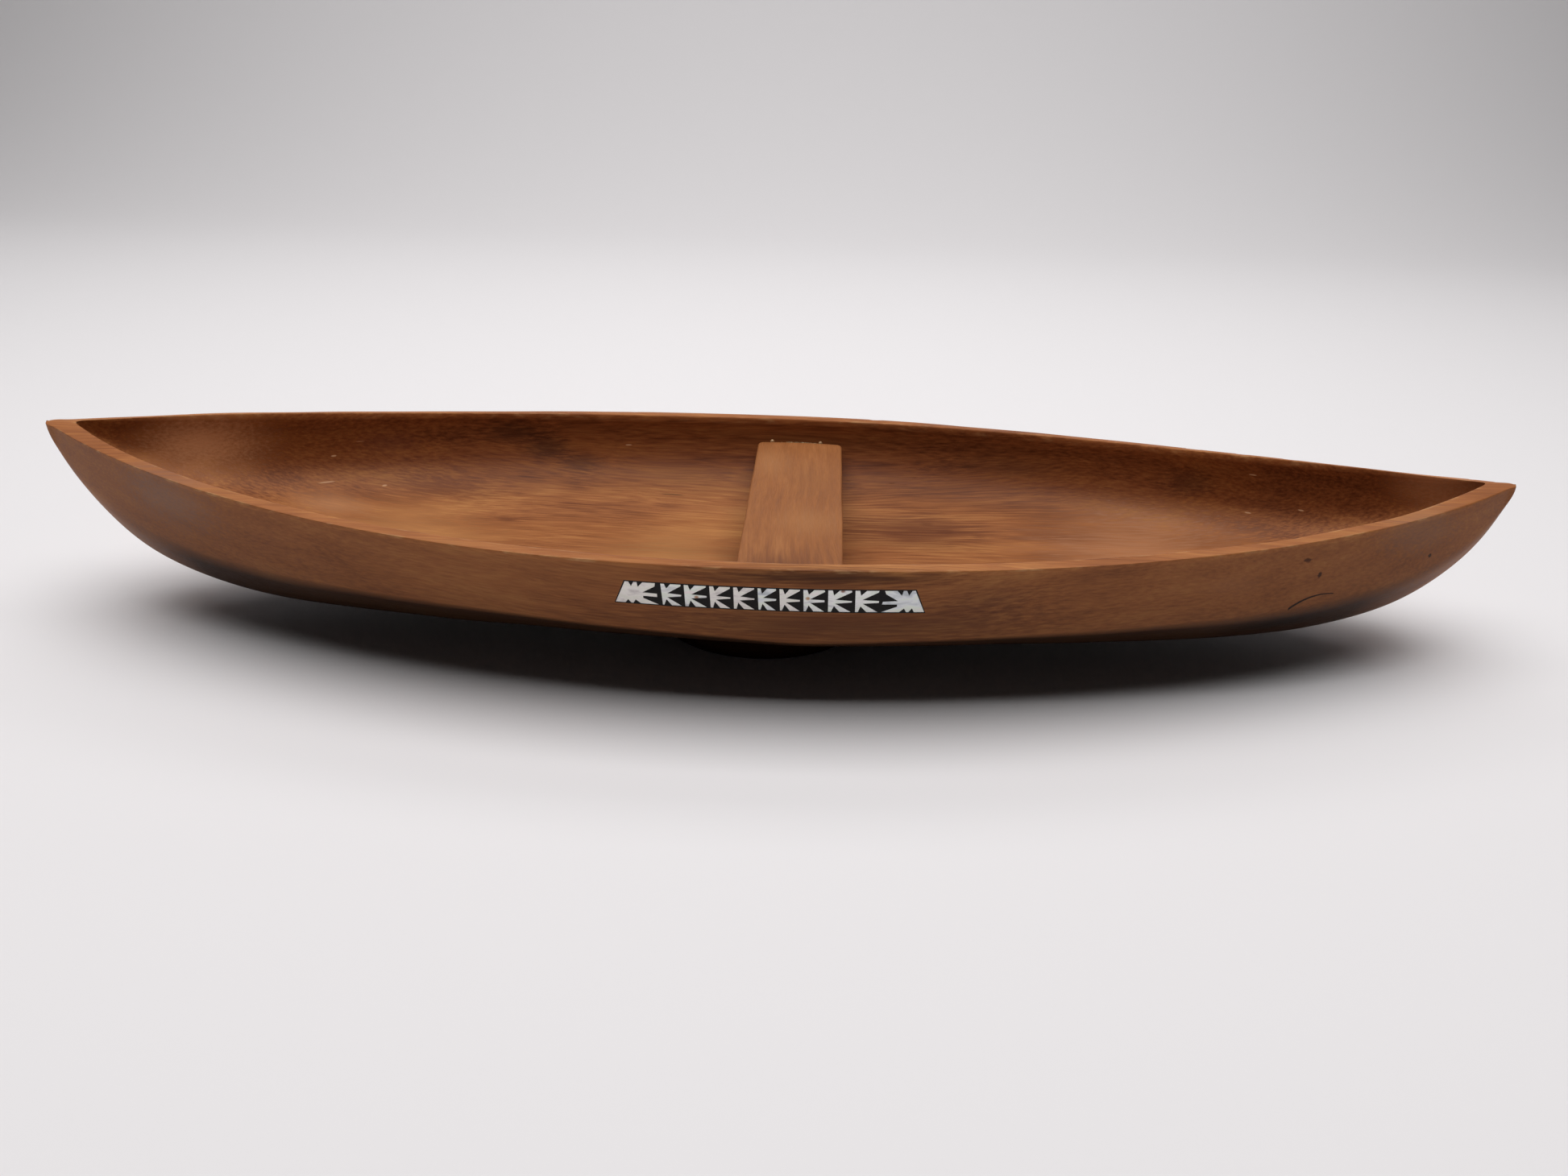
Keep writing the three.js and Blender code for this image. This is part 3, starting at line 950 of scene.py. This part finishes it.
    def carve(self, bm: Solid) -> None:
        """Leaves the slight unevenness of the gouge, and small chips along the rim's edges.

        Args:
            bm: the smooth hull, in metres.
        """
        near = bm.verts.layers.float["rim_edge"]
        hollow = bm.verts.layers.float["hollow"]
        bm.normal_update()
        cuts = {}
        for vert in bm.verts:
            place = vert.co / MM
            tool = noise.noise(place * Vector((1.0, 1.7, 1.7)) / self.carving_size)
            uneven = clamp((abs(place.x) - self.calm_half_length) / self.calm_fade)
            cut = self.carving_depth * (tool - 0.5) * (1.0 if vert[hollow] > 0.5 else uneven)
            if vert[near] > 0.95:
                chip = noise.noise(place * Vector((0.6, 1.0, 1.0)) / self.chip_size + CHIP_SEED)
                patch = noise.noise(place / self.chip_patch_size + PATCH_SEED)
                cut -= self.chip_depth * max(0.0, chip - self.chip_rarity + self.chip_patchiness * patch)
            cuts[vert] = vert.normal * cut * MM
        for vert, cut in cuts.items():
            vert.co += cut

    def foot(self) -> Solid:
        """The low oval foot as a closed mesh of its own, to be joined to the block.

        Returns:
            The foot, in metres.
        """
        bm = bmesh.new()
        flare = 1 + self.foot_flare / (self.foot_breadth / 2)
        tall = self.foot_top * MM
        bmesh.ops.create_cone(bm, cap_ends=True, segments=96, radius1=1.0, radius2=flare, depth=tall)
        size = Vector((self.foot_length / 2 * MM, self.foot_breadth / 2 * MM, 1.0))
        bmesh.ops.scale(bm, vec=size, verts=bm.verts[:])
        bmesh.ops.translate(bm, vec=Vector((self.foot_x, 0.0, self.foot_top / 2)) * MM, verts=bm.verts[:])
        lowest = [e for e in bm.edges if max(v.co.z for v in e.verts) < 0.1 * MM]
        bevelled(bm, lowest, self.foot_chamfer * MM, 4)
        return bm

    def build(self, pockets: Sequence[Solid]) -> Solid:
        """Carves the block, joins the foot and cuts the pockets.

        Args:
            pockets: closed cutters, in metres; they are freed.

        Returns:
            The finished hull, in metres.
        """
        block = self.block()
        self.carve(block)
        hull = combined(block, self.foot(), "UNION")
        hollow = hull.verts.layers.float["hollow"]
        # The foot stands in the bowl's shadow, so it gets full painted shade.
        for vert in hull.verts:
            if vert.co.z < self.foot_top * MM and abs(vert.co.x) < self.foot_length * MM:
                vert[hollow] = -1.0
        for pocket in pockets:
            hull = combined(hull, pocket, "DIFFERENCE")
        bmesh.ops.recalc_face_normals(hull, faces=hull.faces[:])
        return hull


def combined(body: Solid, tool: Solid, operation: str) -> Solid:
    """Joins or cuts two closed meshes.

    Args:
        body: the mesh that is kept; it is freed.
        tool: the mesh that is joined to it or cut from it; it is freed.
        operation: UNION or DIFFERENCE.

    Returns:
        The result.
    """
    pair = [add_object("solid", as_mesh(bm, "solid")) for bm in (body, tool)]
    modifier = pair[0].modifiers.new("join", "BOOLEAN")
    modifier.operation = operation
    modifier.solver = "EXACT"
    modifier.object = pair[1]
    solid = pair[0].evaluated_get(bpy.context.evaluated_depsgraph_get()).to_mesh()
    result = bmesh.new()
    result.from_mesh(solid)
    for part in pair:
        bpy.data.objects.remove(part)
    return result


# ---- The crossbar and its glue ----


@dataclass
class Thwart:
    """The flat crossbar: a planed board with eased edges, its fibres across the bowl."""

    low: Vector
    high: Vector
    skew: float = 0.015
    corner_radius: float = 1.8
    edge_radius: float = 0.7
    crown: float = 0.25
    end_crown: float = 0.3  # the ends' share of it
    end_lean: float = 1.1
    sway: float = 0.25
    sway_size: tuple[float, float] = (22.0, 9.0)
    cuts: int = 24

    def build(self) -> Solid:
        """Makes the board.

        Returns:
            The crossbar, in metres.
        """
        middle = (self.low + self.high) / 2
        size = self.high - self.low
        turn = abs(math.sin(self.skew))
        width = (size.x - size.y * turn) / math.cos(self.skew)
        length = (size.y - width * turn) / math.cos(self.skew)
        bm = bmesh.new()
        bmesh.ops.create_cube(bm, size=1.0)
        bmesh.ops.scale(bm, vec=Vector((width, length, size.z)), verts=bm.verts[:])
        upright = [e for e in bm.edges if abs(e.verts[0].co.z - e.verts[1].co.z) > size.z / 2]
        bevelled(bm, upright, self.corner_radius * MM, 5)
        flat = [e for e in bm.edges if abs(e.verts[0].co.z - e.verts[1].co.z) < size.z / 2]
        bevelled(bm, flat, self.edge_radius * MM, 4)
        bmesh.ops.triangulate(bm, faces=[f for f in bm.faces if len(f.verts) > 4])
        long_edges = [e for e in bm.edges if e.calc_length() > 0.2 * length]
        bmesh.ops.subdivide_edges(bm, edges=long_edges, cuts=self.cuts, use_grid_fill=True)
        for vert in bm.verts:
            down = 0.5 - vert.co.z / size.z
            reach = vert.co.y / (length / 2)
            vert.co.y *= 1 - self.end_lean * MM * down / (length / 2)
            place = vert.co / MM
            drift = Vector((3.7, place.y / self.sway_size[0], place.z / self.sway_size[1]))
            vert.co.x += self.sway * MM * noise.noise(drift)
            fall = (vert.co.x / (width / 2)) ** 2 + self.end_crown * reach**6
            vert.co.z -= self.crown * MM * max(0.0, fall) * (1 - down)
        bmesh.ops.rotate(bm, cent=(0, 0, 0), matrix=Matrix.Rotation(-self.skew, 3, "Z"), verts=bm.verts[:])
        bmesh.ops.translate(bm, vec=middle, verts=bm.verts[:])
        bmesh.ops.recalc_face_normals(bm, faces=bm.faces[:])
        return bm


@dataclass
class GlueBead:
    """A bead of dried glue behind one end of the crossbar, with the lumps of hand work."""

    low: Vector
    high: Vector
    wall: Wall
    seed: int
    lump: float = 0.35
    lumps: float = 14.0  # how many fit its length
    thinning: float = 0.2  # how much thinner it is at its ends
    blunt: float = 1.15  # how far its round ends are drawn out before they are cut off
    drops: tuple[tuple[float, float], ...] = ((-8.8, 0.75), (6.4, 0.6))  # place along it and radius

    def build(self) -> Solid:
        """Makes the bead.

        Returns:
            The bead, in metres.
        """
        middle, size = (self.low + self.high) / 2, self.high - self.low
        bm = bmesh.new()
        bmesh.ops.create_icosphere(bm, subdivisions=5, radius=0.5)
        shift = Vector((self.seed * 5.3, 0.0, 0.0))
        for vert in bm.verts:
            end = abs(2 * vert.co.x) ** 6
            girth = 1 - self.lump * abs(noise.noise(vert.co * self.lumps + shift)) - self.thinning * end
            x = math.copysign(min(abs(vert.co.x) * self.blunt, 0.5), vert.co.x)
            vert.co = (x * size.x, vert.co.y * girth * size.y, vert.co.z * girth * size.z)
        for x, radius in self.drops:
            place = Vector((x * MM, -self.wall.value * size.y * 0.2, size.z / 2 - 0.2 * radius * MM))
            spot = Matrix.Translation(place)
            bmesh.ops.create_icosphere(bm, subdivisions=3, radius=radius * MM, matrix=spot)
        bmesh.ops.translate(bm, vec=middle, verts=bm.verts[:])
        bmesh.ops.recalc_face_normals(bm, faces=bm.faces[:])
        return bm


# ---- The shell inlay ----


class Outline(Enum):
    """A shell piece's outline in a box 1 wide and 1 high, anticlockwise, as the sawyer would draw it."""

    RAYS = (
        (0.05, 0.0), (0.16, 0.0), (0.26, 0.28), (0.5, 0.0), (0.98, 0.0), (0.32, 0.39), (1.0, 0.45),
        (1.0, 0.53), (0.32, 0.58), (0.98, 0.94), (0.98, 1.0), (0.48, 1.0), (0.26, 0.77), (0.18, 1.0),
        (0.0, 1.0),
    )  # a bar with three rays
    END = (
        (0.0, 0.0), (0.23, 0.0), (0.3, 0.17), (0.36, 0.0), (0.42, 0.0), (0.475, 0.17), (0.585, 0.0),
        (1.0, 0.0), (0.64, 0.27), (0.64, 0.35), (0.98, 0.37), (0.98, 0.5), (0.64, 0.52), (0.92, 0.84),
        (0.94, 1.0), (0.66, 1.0), (0.55, 0.77), (0.52, 1.0), (0.44, 1.0), (0.385, 0.79), (0.33, 1.0),
    )  # a slanted outer edge, small teeth, then three rays


@dataclass
class InlayBand:
    """One band of eleven shell pieces, set in black putty in the outer wall.

    Lengths are in mm.  A place on the band is how far along it from its middle, to the viewer's right, how
    far up it, and how far out of the wall.
    """

    lines: HullLines
    wall: Wall
    drop_top: float = 5.2
    drop_bottom: float = 12.3
    height: float = 7.4
    half_top: float = 34.2
    half_bottom: float = 36.9
    margin: float = 0.35
    end_width: float = 10.3
    gap: float = 0.65
    shares: tuple[float, ...] = (5.0, 5.5, 5.1, 5.2, 4.6, 5.1, 5.3, 5.9, 5.9)
    pocket_depth: float = 1.9
    cutter_front: float = 1.5
    putty_clearance: float = 0.02
    putty_front: float = -0.02
    putty_lift: float = 0.05  # off the pocket's floor
    shell_back: float = -0.65
    shell_front: float = 0.05
    shell_edge: float = 0.08
    hand: float = 0.11  # how far a saw cut strays
    seed: int = 31

    def lay(self, along: float, up: float, out: float) -> Vector:
        """Finds a place on the wall.

        Args:
            along: along the band.
            up: up the band.
            out: out of the wall.

        Returns:
            The point, in metres.
        """
        lines, side = self.lines, self.wall.value
        s = -side * along / lines.half_length
        drop = self.drop_bottom - up / self.height * (self.drop_bottom - self.drop_top)
        bilge_z = lines.bilge(s)[2]
        x, y, z = lines.wall(s, 1 - drop / (lines.rim_z(s) - bilge_z))
        _, mid_y, mid_z = lines.bilge(0.0)
        lean = math.atan2(lines.half_beam - mid_y, lines.rim_height - mid_z)
        return Vector((x, side * (y + out * math.cos(lean)), z - out * math.sin(lean))) * MM

    def half_at(self, up: float) -> float:
        """Half the band's length at a height up the band."""
        return self.half_bottom + (self.half_top - self.half_bottom) * up / self.height

    def slab(self, inset: float, back: float, front: float) -> Solid:
        """Makes a slab with the band's slanted ends.

        Args:
            inset: how much smaller it is than the pocket, all round.
            back: where its back lies, out of the wall.
            front: where its front lies.

        Returns:
            The slab, in metres.
        """
        bm = bmesh.new()
        bmesh.ops.create_grid(bm, x_segments=48, y_segments=6, size=0.5)
        made = bmesh.ops.extrude_face_region(bm, geom=bm.faces[:])
        raised = {v for v in made["geom"] if isinstance(v, bmesh.types.BMVert)}
        for vert in bm.verts:
            up = inset + (vert.co.y + 0.5) * (self.height - 2 * inset)
            along = 2 * vert.co.x * (self.half_at(up) - inset)
            vert.co = self.lay(along, up, front if vert in raised else back)
        bmesh.ops.recalc_face_normals(bm, faces=bm.faces[:])
        return bm

    def piece(
        self, outline: Outline, left: float, width: float, rng: random.Random, mirrored: bool = False
    ) -> Solid:
        """Saws one shell piece.

        Args:
            outline: its outline.
            left: where it starts along the band.
            width: its width.
            rng: the hand's unsteadiness.
            mirrored: turned round left to right.

        Returns:
            The piece, in metres.
        """
        tall = self.height - 2 * self.margin
        points = []
        for u, v in outline.value:
            on_edge = v in (0.0, 1.0)
            on_corner = on_edge and u in (0.0, 1.0)
            shake = 0.0 if on_corner else rng.uniform(-self.hand, self.hand)
            lift = 0.0 if on_edge else rng.uniform(-self.hand, self.hand)
            across = min(max(u * width + shake, 0.0), width)
            points.append((left + (width - across if mirrored else across), self.margin + v * tall + lift))
        if outline is Outline.END:
            slant = self.half_at(0.0) - self.half_at(tall + self.margin)
            corner = left + width - slant if mirrored else left + slant
            points.append((corner, self.margin + tall))
        bm = bmesh.new()
        front = bm.faces.new([bm.verts.new((x, y, 0.0)) for x, y in points])
        made = bmesh.ops.extrude_face_region(bm, geom=[front])
        lower = {v for v in made["geom"] if isinstance(v, bmesh.types.BMVert)}
        for vert in bm.verts:
            vert.co.z = self.shell_back if vert in lower else self.shell_front
        rim = [e for e in bm.edges if not lower.intersection(e.verts)]
        bevelled(bm, rim, self.shell_edge, 2, fullness=0.6)
        bmesh.ops.triangulate(bm, faces=bm.faces[:])
        for vert in bm.verts:
            vert.co = self.lay(vert.co.x, vert.co.y, vert.co.z)
        bmesh.ops.recalc_face_normals(bm, faces=bm.faces[:])
        return bm

    def pieces(self) -> list[Solid]:
        """Saws the band's eleven pieces, from the viewer's left to right.

        Returns:
            The pieces, in metres.
        """
        rng = random.Random(self.seed + self.wall.value)
        first = -self.half_bottom + self.margin
        last = self.half_bottom - self.margin - self.end_width
        room = last - (first + self.end_width) - self.gap * (len(self.shares) + 1)
        made = [self.piece(Outline.END, first, self.end_width, rng)]
        left = first + self.end_width + self.gap
        for share in self.shares:
            width = room * share / sum(self.shares)
            made.append(self.piece(Outline.RAYS, left, width, rng))
            left += width + self.gap
        made.append(self.piece(Outline.END, last, self.end_width, rng, mirrored=True))
        return made


# ---- The studio ----


@dataclass
class Studio:
    """A pale paper sweep under one large overhead softbox, and the camera.

    Lengths are in mm.
    """

    half_width: float = 2600.0
    front: float = -1500.0
    flat_to: float = 660.0
    sweep_radius: float = 520.0
    back_height: float = 1900.0
    box_place: tuple[float, float, float] = (-30.0, -40.0, 950.0)
    box_size: tuple[float, float] = (1250.0, 800.0)
    box_power: float = 10.97
    back_place: tuple[float, float, float] = (40.0, 600.0, 760.0)
    back_size: tuple[float, float] = (1500.0, 300.0)
    back_power: float = 2.7
    world_strength: float = 0.025
    world_colour: str = "f4f2f4"
    camera_place: tuple[float, float, float] = (6.1, -313.1, 156.3)
    yaw: float = 0.64
    pitch: float = 25.0
    roll: float = 1.73
    lens: float = 27.75
    sensor: float = 36.0
    nearest: float = 10.0
    curve_steps: int = 24

    def floor(self) -> None:
        """Builds the floor and the curved rise behind it in one sheet."""
        profile = [(self.front, 0.0)]
        for i in range(self.curve_steps + 1):
            angle = math.pi / 2 * i / self.curve_steps
            rise = self.sweep_radius * (1 - math.cos(angle))
            profile.append((self.flat_to + self.sweep_radius * math.sin(angle), rise))
        profile.append((profile[-1][0], self.back_height))
        bm = bmesh.new()
        rows = [
            [bm.verts.new(Vector((x, y, z)) * MM) for x in (-self.half_width, self.half_width)]
            for y, z in profile
        ]
        for (a, b), (c, d) in zip(rows, rows[1:]):
            bm.faces.new((a, b, d, c))
        bmesh.ops.recalc_face_normals(bm, faces=bm.faces[:])
        mesh = as_mesh(bm, "paper_sweep")
        mesh.materials.append(PaperSweep().material())
        mesh.shade_smooth()
        add_object("paper_sweep", mesh)

    @staticmethod
    def _softbox(name: str, place: Point, size: Point, power: float) -> None:
        """Hangs one rectangular softbox that faces down."""
        data = bpy.data.lights.new(name, "AREA")
        data.shape = "RECTANGLE"
        data.size, data.size_y = (value * MM for value in size)
        data.energy = power
        add_object(name, data).location = Vector(place) * MM

    def light(self) -> None:
        """Hangs the softboxes and sets the room's dim fill."""
        self._softbox("main_softbox", self.box_place, self.box_size, self.box_power)
        self._softbox("back_softbox", self.back_place, self.back_size, self.back_power)
        world = bpy.data.worlds.new("room")
        world.use_nodes = True
        background = next(n for n in world.node_tree.nodes if n.type == "BACKGROUND")
        background.inputs["Color"].default_value = linear(self.world_colour)
        background.inputs["Strength"].default_value = self.world_strength
        bpy.context.scene.world = world

    def camera(self) -> None:
        """Sets the camera, a little rolled and looking down on the bowl."""
        data = bpy.data.cameras.new("camera")
        data.lens = self.lens
        data.sensor_width = self.sensor
        data.clip_start = self.nearest * MM
        yaw, pitch, roll = (math.radians(value) for value in (self.yaw, self.pitch, self.roll))
        ahead = Vector((-math.sin(yaw) * math.cos(pitch), math.cos(yaw) * math.cos(pitch), -math.sin(pitch)))
        level = Vector((math.cos(yaw), math.sin(yaw), 0.0))
        upright = level.cross(ahead)
        right = level * math.cos(roll) + upright * math.sin(roll)
        up = upright * math.cos(roll) - level * math.sin(roll)
        turn = Matrix((right, up, -ahead)).transposed().to_4x4()
        camera = add_object("camera", data)
        camera.matrix_world = Matrix.Translation(Vector(self.camera_place) * MM) @ turn
        bpy.context.scene.camera = camera

    def build(self) -> None:
        """Builds the whole studio and sets a plain view of its colours."""
        self.floor()
        self.light()
        self.camera()
        bpy.context.scene.view_settings.view_transform = "Standard"


# ---- The bowl ----


def scratch(
    centre: tuple[float, float, float], radii: tuple[float, float, float], strength: float = 0.5
) -> Mark:
    """A small pale scratch with crisp ends, where the oil has gone."""
    return Mark(centre, radii, "d9ad85", strength, softness=0.5, ragged=0.1)


HULL_WOOD = OiledHardwood(
    name="oiled_hull_wood",
    dark="6c3b20",
    middle="975d35",
    light="b67d49",
    marks=(
        Mark((-73.5, 48.1, 33.9), (11, 6, 6), "2e150c", 0.6),
        Mark((-84.0, 47.5, 38.5), (12, 6, 5), "3a1d10", 0.6),
        Mark((-63.4, 47.8, 29.0), (9, 6, 4), "3a1d10", 0.45),
        Mark((122.0, 32.5, 34.5), (13, 6, 6), "381a0f", 0.5),
        Mark((-81.0, 21.8, 20.9), (4.5, 3.5, 3), "5b2c17", 0.5),
        Mark((50.7, 24.5, 19.4), (4.0, 2.4, 3), "5b2c17", 0.5),
        Mark((45.0, 29.0, 20.0), (3.2, 2.0, 3), "5b2c17", 0.45),
        Mark((60.1, 22.2, 19.4), (3.5, 2.0, 3), "5b2c17", 0.45),
        Mark((-33.4, 40.1, 22.7), (4.6, 0.28, 3), "2a140b", 0.8, 0.5),
        scratch((-134.5, 22.3, 29.5), (1.8, 1.0, 0.25)),
        scratch((-48.6, 52.0, 34.0), (1.3, 2.0, 0.25), strength=0.45),
        scratch((87.8, 36.1, 25.4), (1.8, 1.0, 0.25)),
        Mark((-104.0, 33.0, 25.0), (26, 8, 7), "6b3a20", 0.7, 1.0),
        Mark((40.0, 25.0, 18.0), (34, 20, 8), "5c301b", 0.85, 1.0),
        Mark((104.0, 14.0, 22.0), (42, 26, 10), "b8805a", 0.6, 1.0, 0.5),
        scratch((-134.8, 31.1, 34.5), (0.9, 2.0, 0.3)),
        scratch((-135.5, 25.4, 28.1), (3.6, 2.0, 0.2)),
        scratch((-119.8, 29.2, 26.2), (0.9, 2.0, 0.25)),
        Mark((-127.8, 35.2, 38.0), (1.6, 2.0, 0.2), "c08a62", 0.4, 0.5, 0.1),
        scratch((139.9, 28.2, 39.3), (1.3, 2.0, 0.25)),
        scratch((139.3, 24.6, 28.6), (1.2, 2.0, 0.25)),
        scratch((152.9, 20.4, 31.5), (1.0, 2.0, 0.25)),
        Mark((-30.0, 2.0, 18.0), (26, 24, 6), "b8834f", 0.5, 1.0, 0.5),
        Mark((-105.0, 8.0, 22.0), (34, 22, 8), "b27c4b", 0.5, 1.0, 0.5),
        # Painted light in the hollow's left end, where its walls keep the light out.
        Mark((-166.0, 17.0, 42.0), (38, 14, 12), "c98d62", 0.7, 1.0),
        Mark((-120.0, 38.0, 37.0), (20, 6, 5), "5a2f22", 0.4, 1.0),
        # Painted shade on the far wall's right half, which faces away from the light.
        Mark((70.0, 47.0, 33.0), (46, 7, 5), "54301c", 0.42, 1.0),
        Mark((-132.0, 18.0, 24.0), (20, 8, 6), "c08b62", 0.4, 1.0),
        # Painted shade on the underside near the right bilge, in the bowl's shadow.
        Mark((133.0, -30.0, 19.0), (28, 10, 6), "26120b", 0.7, 1.0),
        Mark((184.0, 8.0, 47.0), (20, 12, 12), "b97f58", 0.5, 1.0),
        Mark((133.2, -34.6, 39.0), (1.4, 3.0, 0.8), "3f1d0f", 0.8, 0.5),
        Mark((137.8, -32.6, 34.3), (0.7, 3.0, 1.1), "2a120a", 0.85, 0.5),
        Mark((172.4, -17.4, 34.3), (0.7, 2.0, 0.8), "2a120a", 0.9, 0.5),
        Mark((113.4, -40.9, 34.2), (15, 6, 4.0), "a8714b", 0.25, 1.0),
        Mark((14.0, -60.0, 41.0), (52, 6, 4.0), "44220f", 0.9, 1.0),
        Mark((20.0, -55.0, 27.0), (85, 12, 10), "4b271a", 0.62, 1.0),
        Mark((56.0, -57.0, 33.0), (26, 8, 9), "532c1d", 0.55, 1.0),
        # Painted reflections: pale grey sheens of the bright room on the outer wall's two ends.
        Mark((-158.0, -27.0, 42.0), (34, 14, 12), "94796a", 0.4, 1.0),
        Mark((168.0, -20.0, 42.0), (26, 14, 9), "876b5b", 0.35, 1.0),
    ),
    cracks=(Crack((140.5, 12.9), 15.6, (0.32, 0.12), (131.0, 143.5), Wall.FRONT),),
)
THWART_WOOD = OiledHardwood(
    name="oiled_thwart_wood",
    dark="7d4a29",
    middle="965e35",
    light="ad7547",
    grain=Grain.ALONG_Y,
    streak_size=(22.0, 1.3),
    fibre_size=(5.0, 0.35),
    pith=(0.0, 30.0, -40.0),
    pore_reach=0.1,
    marks=(
        Mark((3.0, -48.0, 36.0), (18, 22, 6), "6b3f27", 0.9, 1.0),
        Mark((9.0, -14.0, 36.0), (13, 15, 6), "ad7648", 0.45, 1.0),
        Mark((9.0, 18.0, 36.0), (9, 24, 6), "86542f", 0.4, 1.0),
        Mark((-3.0, 34.0, 36.0), (8, 20, 6), "b17a4c", 0.4, 1.0),
    ),
)
NACRES = (
    PolishedNacre("white_nacre"),
    PolishedNacre("cool_nacre", ground="e6e9ec", cloud="bcc2c7"),
    PolishedNacre("warm_nacre", ground="f0ebe6", cloud="cfc8c6", tint="e8e6dc"),
)

LIP_OVER_TIP = 0.1436  # how far the rim's inner edge stands over the left tip, in mm
RIGHT_TIP_DROP = 4.1  # how much lower the right tip is, in mm

# Pieces of the front band with a brown spot of shell skin: where it is along and up the band, and its colour.
STAINED_PIECES = {3: (-17.2, 3.4, "a8703c"), 8: (8.9, 4.4, "b07a44"), 9: (17.0, 6.9, "7c4420")}


@dataclass
class CanoeBowl:
    """The whole bowl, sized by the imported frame."""

    hull_box: tuple[Vector, Vector]
    thwart_box: tuple[Vector, Vector]
    lines: HullLines = field(init=False)

    def __post_init__(self) -> None:
        """Draws the hull's lines from the frame's sizes."""
        low, high = (corner / MM for corner in self.hull_box)
        left_tip = high.z - LIP_OVER_TIP
        tips = (left_tip, left_tip - RIGHT_TIP_DROP)
        self.lines = HullLines((high.x - low.x) / 2, (high.y - low.y) / 2, tips)

    def build(self) -> None:
        """Builds every piece."""
        bands = [InlayBand(self.lines, wall) for wall in Wall]
        pockets = [band.slab(0.0, -band.pocket_depth, band.cutter_front) for band in bands]
        wood = HULL_WOOD.material()
        place_piece(Hull(self.lines).build(pockets), "carved_hull", wood, ["hull"])
        thwart = Thwart(*self.thwart_box).build()
        place_piece(thwart, "crossbar", THWART_WOOD.material(), ["thwart"])
        glue = DriedGlue().material()
        putty = PressedPutty().material()
        nacres = [nacre.material() for nacre in NACRES]
        for band in bands:
            label = band.wall.label
            node = f"thwart_glue_{label}"
            bead = GlueBead(*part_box(node), band.wall, band.wall.value + 2).build()
            place_piece(bead, f"glue_bead_{label}", glue, [node])
            slab = band.slab(band.putty_clearance, band.putty_lift - band.pocket_depth, band.putty_front)
            place_piece(slab, f"putty_bed_{label}", putty, [f"putty_{label}"])
            rng = random.Random(label)
            for i, shell in enumerate(band.pieces(), start=1):
                tag = f"{label}_{i:02d}"
                nacre = rng.choice(nacres)
                if band.wall is Wall.FRONT and i in STAINED_PIECES:
                    along, up, colour = STAINED_PIECES[i]
                    place = tuple(band.lay(along, up, band.shell_front) / MM)
                    finish = PolishedNacre(f"stained_nacre_{i:02d}", stain=colour, stain_place=place)
                    nacre = finish.material()
                place_piece(shell, f"nacre_{tag}", nacre, [f"shell_{tag}"])


def main() -> None:
    """Builds the bowl and its studio."""
    logging.basicConfig(level=logging.INFO, format="%(name)s: %(message)s")
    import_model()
    CanoeBowl(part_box("hull"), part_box("thwart")).build()
    Studio().build()


if __name__ == "__main__":
    main()
